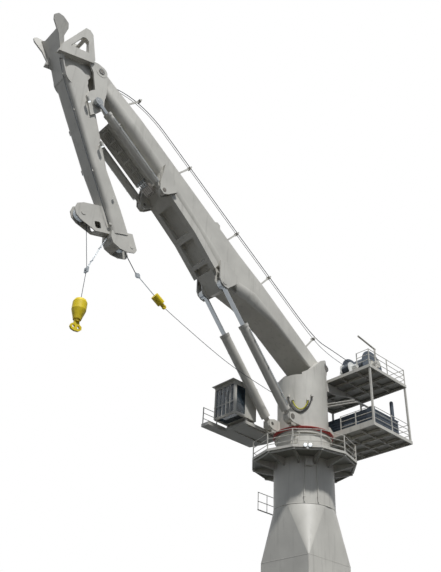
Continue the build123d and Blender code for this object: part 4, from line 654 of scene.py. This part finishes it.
def headLoop(work, look):
    # the circle at the head, with a straight chord over each flat
    first, steps = math.radians(look["flatAngle"]), look["cornerSteps"]
    sweep = math.pi / 2 - 2 * first
    loop = []
    for turn in range(4):
        for k in range(steps + 1):
            a = math.pi / 2 * turn + first + sweep * k / steps
            loop.append(work.verts.new((look["headRadius"] * math.cos(a), look["headRadius"] * math.sin(a),
                                        look["headLevel"])))
    return loop


def creaseOver(work, degrees):
    # edges that fold by more than this stay crisp, the rest shade smoothly
    work.normal_update()
    for edge in work.edges:
        edge.smooth = edge.calc_face_angle(math.pi) < math.radians(degrees)


def makeTrunk(look):
    work = bmesh.new()
    seam, fold = look["seamWidth"] / 2, look["foldLevel"]
    loops = [squareLoop(work, look, look["flangeThickness"] / 2), squareLoop(work, look, fold - seam),
             squareLoop(work, look, fold - seam / 2, look["seamHeight"]),
             squareLoop(work, look, fold + seam / 2, look["seamHeight"]), squareLoop(work, look, fold + seam),
             headLoop(work, look)]
    for lower, upper in zip(loops, loops[1:]):
        for k in range(len(lower)):
            following = (k + 1) % len(lower)
            work.faces.new((lower[k], lower[following], upper[following], upper[k]))
    work.faces.new(loops[0][::-1])
    work.faces.new(loops[-1])
    half, thickness = look["flangeHalf"], look["flangeThickness"]
    flange = Matrix.Translation((0, 0, thickness / 2)) @ Matrix.Diagonal((2 * half, 2 * half, thickness, 1))
    addBlock(work, flange, look["flangeEdge"])
    creaseOver(work, look["creaseDegrees"])
    shell = addPiece("pedestalTrunkShell", meshFrom(work, "pedestalTrunkShell", smooth=True), greyTopcoat,
                     "pedestal")
    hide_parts("pedestal_trunk")
    line, count = look["boltLine"], look["boltsPerSide"]
    bolts = []
    for turn in range(4):
        for k in range(count):
            spot = Vector((line, -line + k * 2 * line / count, thickness))
            bolts.append((Matrix.Rotation(math.pi / 2 * turn, 3, "Z") @ spot, (0, 0, 1)))
    boltPiece("footFlangeBolts", bolts, look["boltSize"], "pedestal")


makeTrunk(trunk)
print("trunk folded")


# Oil pipes: bent steel tube held by clamps.

pipeMesh = {"roundness": 4, "bendSteps": 6, "bendShare": 3, "armShare": 0.45}
clampLook = {"length": 0.05, "height": 1.9, "width": 2.4, "edge": 0.006}        # height and width in pipes


def bendPipe(name, runs, across, body, clamps=()):
    data = bpy.data.curves.new(name, "CURVE")
    data.dimensions = "3D"
    data.bevel_depth = across / 2
    data.bevel_resolution = pipeMesh["roundness"]
    data.use_fill_caps = True
    for run in runs:
        corners = [Vector(corner) for corner in run]
        points = corners[:1]
        for before, corner, after in zip(corners, corners[1:], corners[2:]):
            # a bend of about three diameters, held to the corner by a point each side of it
            into, out = (corner + arm.normalized() * min(across * pipeMesh["bendShare"],
                                                         arm.length * pipeMesh["armShare"])
                         for arm in (before - corner, after - corner))
            points += [into, corner, out]
        points += corners[-1:]
        spline = data.splines.new("NURBS")
        spline.points.add(len(points) - 1)
        for point, place in zip(spline.points, points):
            point.co = (*place, 1)
        spline.order_u = 3
        spline.use_endpoint_u = True
        spline.resolution_u = pipeMesh["bendSteps"]
    addPiece(name, data, riggingSteel, body)
    if clamps:
        work = bmesh.new()
        size = Matrix.Diagonal((clampLook["length"], across * clampLook["height"],
                                across * clampLook["width"], 1))
        for place, along, outward in clamps:
            along, outward = Vector(along).normalized(), Vector(outward).normalized()
            turn = Matrix((along, outward, along.cross(outward))).transposed().to_4x4()
            addBlock(work, Matrix.Translation(place) @ turn @ size, clampLook["edge"])
        addPiece(name + "Clamps", meshFrom(work, name + "Clamps"), greyTopcoat, body)


barrelPipes = {
    "luff": {"body": "luff_barrel_pair", "across": 0.045, "flank": 0.335, "from": 0.75, "to": 5.75,
             "spacing": 0.82},
    "jack": {"body": "knuckle_barrel_pair", "across": 0.038, "flank": 0.28, "from": 0.6, "to": 5.05,
             "spacing": 0.95},
}
clampPlaces = {"shares": (0.15, 0.5, 0.85), "inset": 0.015}


def pipeBarrels(kind, point, look):
    along = point(1, 0) - point(0, 0)
    runs, clamps = [], []
    for side in (1, -1):
        left = side * look["spacing"]
        outer = side * (look["spacing"] + look["flank"])
        runs.append([point(look["from"], 0, left), point(look["from"], 0, outer), point(look["to"], 0, outer),
                     point(look["to"], 0, left)])
        for share in clampPlaces["shares"]:
            reach = look["from"] + (look["to"] - look["from"]) * share
            clamps.append((point(reach, 0, outer - side * clampPlaces["inset"]), along, (0, side, 0)))
    bendPipe(kind + "BarrelPipes", runs, look["across"], look["body"], clamps)


pipeBarrels("luff", luffPoint, barrelPipes["luff"])
pipeBarrels("jack", jackPoint, barrelPipes["jack"])
print("barrel pipes bent:", len(barrelPipes), "pairs")


# Valve block under the boom, between the knuckle cylinders' feet.

valveBlock = {
    "along": 15.9, "up": -2.23, "size": (0.55, 0.26, 0.7), "sections": 5, "sectionShare": 0.9, "edge": 0.012,
    "capReach": 0.05, "capRadii": (0.045, 0.04), "capLength": 0.12,
    "pipeFrom": 0.2, "pipeTo": 0.62, "pipeDrop": 0.22, "pipeStagger": 0.03, "pipeRise": 0.03,
    "pipeAcross": 0.034}


def makeValveBlock(look):
    work = bmesh.new()
    turn = sideTurn(boomPoint)
    length, height, width = look["size"]
    section = width / look["sections"]
    runs = []
    for k in range(look["sections"]):
        left = width * ((k + 0.5) / look["sections"] - 0.5)
        at = Matrix.Translation(boomPoint(look["along"], look["up"], left)) @ turn
        slab = Matrix.Diagonal((length, section * look["sectionShare"], height, 1))
        addBlock(work, at @ slab, look["edge"])
        for end in (1, -1):
            reach = look["along"] + end * (length / 2 + look["capReach"])
            cap = Matrix.Translation(boomPoint(reach, look["up"], left)) @ turn
            wide, narrow = look["capRadii"]
            bmesh.ops.create_cone(work, cap_ends=True, segments=20, radius1=wide, radius2=narrow,
                                  depth=look["capLength"], matrix=cap @ Matrix.Rotation(math.pi / 2, 4, "Y"))
        near, far = look["along"] + look["pipeFrom"], look["along"] + look["pipeTo"]
        low = look["up"] - look["pipeDrop"] - look["pipeStagger"] * (k % 2)
        runs.append([boomPoint(near, look["up"], left), boomPoint(near, low, left), boomPoint(far, low, left),
                     boomPoint(far, look["up"] + look["pipeRise"], left)])
    addPiece("boomValveBlock", meshFrom(work, "boomValveBlock"), greasedSteel, "boom")
    bendPipe("boomValvePipes", runs, look["pipeAcross"], "boom")


makeValveBlock(valveBlock)
print("valve block fitted")


# Floodlights: pressed glass lenses in the housings on the jib and at the walkway.

lensMesh = {"rings": 5, "sides": 24, "dome": 0.28}


def addLens(work, place, aim, radius):
    at = Matrix.Translation(place) @ turnTowards(aim)
    sides, dome = lensMesh["sides"], radius * lensMesh["dome"]
    rows = [[work.verts.new(at @ Vector((0, 0, dome)))]]
    for k in range(1, lensMesh["rings"] + 1):
        a = math.pi / 2 * k / lensMesh["rings"]
        rows.append([work.verts.new(at @ Vector((radius * math.sin(a) * math.cos(2 * math.pi * j / sides),
                                                 radius * math.sin(a) * math.sin(2 * math.pi * j / sides),
                                                 dome * math.cos(a)))) for j in range(sides)])
    for j in range(sides):
        work.faces.new((rows[0][0], rows[1][j], rows[1][(j + 1) % sides]))
    for near, far in zip(rows[1:], rows[2:]):
        for j in range(sides):
            work.faces.new((near[j], far[j], far[(j + 1) % sides], near[(j + 1) % sides]))
    work.faces.new(rows[-1])


jibLamps = {
    "spots": [(2.7, 1), (5.6, 1), (8.3, 1), (3.9, -1), (6.5, -1)],          # along the jib, and its side
    "taperFrom": 3.3, "rootHalf": 0.65, "taperHalf": 0.63, "taper": 1 / 60,
    "edgeFrom": 0.95, "edgeUp": 2.66, "edgeSlope": 0.132, "drop": {1: 0.85, -1: 0.55},
    "standOff": 0.33, "back": (-0.12, 0.07), "front": (0.17, 0.02), "lensRadius": 0.095}


def makeJibLenses(look):
    work = bmesh.new()
    for along, side in look["spots"]:
        half = look["rootHalf"]
        if along >= look["taperFrom"]:
            half = look["taperHalf"] - (along - look["taperFrom"]) * look["taper"]
        up = look["edgeUp"] - look["edgeSlope"] * (along - look["edgeFrom"]) - look["drop"][side]
        back, front = (jibPoint(along + step, up + rise, side * (half + look["standOff"]))
                       for step, rise in (look["back"], look["front"]))
        addLens(work, front, front - back, look["lensRadius"])
    addPiece("jibLampLenses", meshFrom(work, "jibLampLenses", smooth=True), lampGlass, "jib")


neckLamps = {"angle": 56, "radius": 1.985, "apart": 0.15, "level": 7.9, "lensRadius": 0.1}


def makeNeckLenses(look):
    work = bmesh.new()
    turn = math.radians(look["angle"])
    outward = Vector((math.cos(turn), math.sin(turn), 0))
    across = Vector((-outward.y, outward.x, 0))
    for side in (1, -1):
        place = outward * look["radius"] + across * side * look["apart"]
        place.z = look["level"]
        addLens(work, place, outward, look["lensRadius"])
    addPiece("walkwayLampLenses", meshFrom(work, "walkwayLampLenses", smooth=True), lampGlass, "pedestal")


makeJibLenses(jibLamps)
makeNeckLenses(neckLamps)
print("lenses fitted")


# Twin floodlight clamped on the walkway's kick plate, looking down over the deck.

twinLamp = {
    "angle": 45.5, "radius": 3.2, "level": 7.58, "apart": 0.14, "headRadius": 0.12, "depth": 0.19,
    "droop": -28, "lipShare": 0.9, "lipRise": 0.004, "lensShare": 0.88, "lensRise": 0.002,
    "barSet": (-0.08, -0.05), "bar": (0.05, 0.5, 0.03), "stem": (0.02, 0.12, 0.16),
    "stemDrop": -0.06, "edge": 0.004, "creaseDegrees": 30}
backProfile = [(0.35, -1.0), (0.62, -0.96)]                   # radius and depth, in shares of the head's own
ribProfile = [(0.7, 0.0), (0.84, 0.02), (0.84, 0.07), (0.72, 0.09)]
ribStarts = [-0.9, -0.73, -0.56, -0.39]                       # cooling ribs round the back
rimProfile = [(0.95, -0.2), (1.0, -0.12), (1.0, 0.0)]


def latheInto(work, profile, matrix, sides=32):
    rings = [[work.verts.new(matrix @ Vector((r * math.cos(2 * math.pi * k / sides),
                                              r * math.sin(2 * math.pi * k / sides), height)))
              for k in range(sides)] for r, height in profile]
    for lower, upper in zip(rings, rings[1:]):
        for k in range(sides):
            work.faces.new((lower[k], lower[(k + 1) % sides], upper[(k + 1) % sides], upper[k]))
    work.faces.new(rings[0][::-1])
    work.faces.new(rings[-1])


def makeTwinLamp(look):
    turn, droop = math.radians(look["angle"]), math.radians(look["droop"])
    outward = Vector((math.cos(turn) * math.cos(droop), math.sin(turn) * math.cos(droop), math.sin(droop)))
    across = Vector((-math.sin(turn), math.cos(turn), 0))
    heads, glasses = bmesh.new(), bmesh.new()
    ribs = [(r, start + step) for start in ribStarts for r, step in ribProfile]
    bowl = [(r * look["headRadius"], step * look["depth"]) for r, step in backProfile + ribs + rimProfile]
    bowl.append((look["headRadius"] * look["lipShare"], look["lipRise"]))
    for side in (1, -1):
        place = Vector((look["radius"] * math.cos(turn), look["radius"] * math.sin(turn), look["level"]))
        place += across * side * look["apart"]
        latheInto(heads, bowl, Matrix.Translation(place) @ turnTowards(outward))
        addLens(glasses, place + outward * look["lensRise"], outward, look["headRadius"] * look["lensShare"])
    inward, down = look["barSet"]
    atBar = Matrix.Translation((look["radius"] + inward, 0, look["level"] + down))
    bar = Matrix.Rotation(turn, 4, "Z") @ atBar
    for size, lift in ((look["bar"], 0.0), (look["stem"], look["stemDrop"])):
        addBlock(heads, bar @ Matrix.Translation((0, 0, lift)) @ Matrix.Diagonal((*size, 1)), look["edge"])
    creaseOver(heads, look["creaseDegrees"])
    addPiece("twinLampHeads", meshFrom(heads, "twinLampHeads", smooth=True), whiteTopcoat, "pedestal")
    addPiece("twinLampLenses", meshFrom(glasses, "twinLampLenses", smooth=True), lampGlass, "pedestal")


makeTwinLamp(twinLamp)
print("twin lamp clamped")


# The operator's seat, levers and window wiper.

cab = {
    "middle": (3.55, -2.14), "floor": 9.84, "seatHeight": 0.5,
    "cushionSize": (0.52, 0.54, 0.13), "cushionLean": -4, "backSize": (0.13, 0.5, 0.72), "backLean": -12,
    "backPlace": (-0.29, 0.42), "armSize": (0.5, 0.14, 0.12), "armPlace": (0.05, 0.36, 0.14), "armEdge": 0.02,
    "postSize": (0.06, 0.04, 0.2), "postPlace": (-0.08, 0.33, 0.02), "leverAhead": 0.24, "leverLevel": 0.26,
    "leverRadii": (0.012, 0.01), "leverLength": 0.14, "knobLevel": 0.34, "knobRadius": 0.03}
seatStand = [(0.24, 0.2, 0.04, 0.02), (0.06, 0.05, 0.4, 0.22)]          # foot and stem: radii, height, level
wiper = {"across": 0.02, "route": [(4.716, 0.35, 11.76), (4.746, 0.3, 11.51), (4.731, 0.05, 10.91)]}
seam = {"place": 0.45, "width": 0.06, "depth": 0.035, "crown": 0.16}    # two sewn channels in a crowned pad


def padMesh(name, size, place, lean):
    work = bmesh.new()
    bmesh.ops.create_cube(work, size=1, matrix=Matrix.Diagonal((*size, 1)))
    bmesh.ops.bevel(work, geom=list(work.edges), offset=min(size) * 0.42, segments=4, affect="EDGES")
    bmesh.ops.subdivide_edges(work, edges=[e for e in work.edges if e.calc_length() > 0.12], cuts=4,
                              use_grid_fill=True)
    thin = size.index(min(size))
    for vert in work.verts:
        shares = [vert.co[k] / size[k] * 2 for k in range(3) if k != thin]
        crown = max(0.0, 1 - shares[0] ** 2) * max(0.0, 1 - shares[1] ** 2)
        channel = math.exp(-((abs(shares[1]) - seam["place"]) / seam["width"]) ** 2)
        vert.co[thin] += (math.copysign(min(size), vert.co[thin])
                          * (seam["crown"] * crown - seam["depth"] * channel))
    bmesh.ops.transform(work, verts=work.verts,
                        matrix=Matrix.Translation(place) @ Matrix.Rotation(math.radians(lean), 4, "Y"))
    return meshFrom(work, name, smooth=True)


def fitCab(look):
    x, y = look["middle"]
    top = look["floor"] + look["seatHeight"]
    behind, above = look["backPlace"]
    pads = (("seatCushion", look["cushionSize"], (x, y, top), look["cushionLean"]),
            ("seatBack", look["backSize"], (x + behind, y, top + above), look["backLean"]))
    for name, size, place, lean in pads:
        pad = addPiece(name, padMesh(name, size, place, lean), seatVinyl, "column")
    work = bmesh.new()
    for wide, narrow, height, level in seatStand:
        bmesh.ops.create_cone(work, cap_ends=True, segments=24, radius1=wide, radius2=narrow, depth=height,
                              matrix=Matrix.Translation((x, y, look["floor"] + level)))
    for side in (1, -1):
        ahead, apart, lift = look["armPlace"]
        lever = (x + look["leverAhead"], y + side * apart)
        arm = Matrix.Translation((x + ahead, y + side * apart, top + lift))
        addBlock(work, arm @ Matrix.Diagonal((*look["armSize"], 1)), look["armEdge"], segments=3)
        ahead, apart, lift = look["postPlace"]
        post = Matrix.Translation((x + ahead, y + side * apart, top + lift))
        bmesh.ops.create_cube(work, size=1, matrix=post @ Matrix.Diagonal((*look["postSize"], 1)))
        wide, narrow = look["leverRadii"]
        bmesh.ops.create_cone(work, cap_ends=True, segments=14, radius1=wide, radius2=narrow,
                              depth=look["leverLength"],
                              matrix=Matrix.Translation((*lever, top + look["leverLevel"])))
        bmesh.ops.create_uvsphere(work, u_segments=16, v_segments=10, radius=look["knobRadius"],
                                  matrix=Matrix.Translation((*lever, top + look["knobLevel"])))
    addPiece("seatStand", meshFrom(work, "seatStand"), blueGreyTopcoat, "column")
    wiperRun = [(ahead, y + left, level) for ahead, left, level in wiper["route"]]
    bendPipe("windowWiper", [wiperRun], wiper["across"], "column")


fitCab(cab)
print("cab fitted")


# Stage: a pale floor, a sun high on the crane's left with a faint fill in front, white behind.

studio = {
    "floorRadius": 260.0,
    "floorDrop": 0.002,
    "floorColour": "#dddcda",
    "floorWear": "#dfdfdd",
    "floorPatch": 0.08,           # patches of wear a dozen metres across
    "bounceColour": "#4c4b49",    # what the floor gives back to the crane's underside
    "worldColour": "#cfdff5",
    "worldLevel": 0.35,
}
lamps = {
    "keyLight": {"level": 3.7, "spread": 4.0, "towards": (0.22, 0.50, 0.84)},        # spread in degrees
    "fillLight": {"level": 0.2, "spread": 60.0, "towards": (0.8, 0.35, 0.2)},
}


def layFloor(look):
    work = bmesh.new()
    bmesh.ops.create_circle(work, cap_ends=True, segments=96, radius=look["floorRadius"])
    floor = bpy.data.objects.new("studioFloor", meshFrom(work, "studioFloor"))
    if floor.data.polygons[0].normal.z < 0:
        floor.data.flip_normals()
    floor.location.z = -look["floorDrop"]
    bpy.context.scene.collection.objects.link(floor)
    material, tree = emptyMaterial("paleFloor")
    place = addNode(tree, "ShaderNodeTexCoord").outputs["Object"]
    patch = addNode(tree, "ShaderNodeTexNoise", {"Scale": look["floorPatch"], "Detail": 2.0},
                    {"Vector": place})
    seen = colourStops(tree, patch.outputs["Fac"],
                       [(0.3, linearColour(look["floorColour"])), (0.7, linearColour(look["floorWear"]))])
    tone = addNode(tree, "ShaderNodeMix", {"data_type": "RGBA", mixFirst: linearColour(look["bounceColour"])},
                   {"Factor": directRays(tree), mixSecond: seen})
    upper = addNode(tree, "ShaderNodeBsdfDiffuse", links={"Color": tone.outputs[mixResult]})
    under = addNode(tree, "ShaderNodeBsdfTransparent")        # the camera looks up through it
    both = addNode(tree, "ShaderNodeMixShader",
                   links={0: addNode(tree, "ShaderNodeNewGeometry").outputs["Backfacing"],
                          1: upper.outputs["BSDF"], 2: under.outputs["BSDF"]})
    addNode(tree, "ShaderNodeOutputMaterial", links={"Surface": both.outputs["Shader"]})
    floor.data.materials.append(material)


def lightWorld(look):
    world = bpy.data.worlds.new("studioWorld")
    bpy.context.scene.world = world
    world.use_nodes = True
    tree = world.node_tree
    tree.nodes.clear()
    light = addNode(tree, "ShaderNodeBackground",
                    {"Color": linearColour(look["worldColour"]), "Strength": look["worldLevel"]})
    white = addNode(tree, "ShaderNodeBackground", {"Color": (1, 1, 1, 1), "Strength": 1.0})
    both = addNode(tree, "ShaderNodeMixShader",
                   links={0: directRays(tree), 1: light.outputs["Background"],
                          2: white.outputs["Background"]})
    addNode(tree, "ShaderNodeOutputWorld", links={"Surface": both.outputs["Shader"]})


def hangLamp(name, look):
    lamp = bpy.data.lights.new(name, "SUN")
    lamp.energy = look["level"]
    lamp.angle = math.radians(look["spread"])
    holder = bpy.data.objects.new(name, lamp)
    holder.rotation_mode = "QUATERNION"
    holder.rotation_quaternion = Vector(look["towards"]).to_track_quat("Z", "Y")
    bpy.context.scene.collection.objects.link(holder)


layFloor(studio)
lightWorld(studio)
for lampName, lamp in lamps.items():
    hangLamp(lampName, lamp)
bpy.context.scene.view_settings.view_transform = "Standard"
print("stage lit")
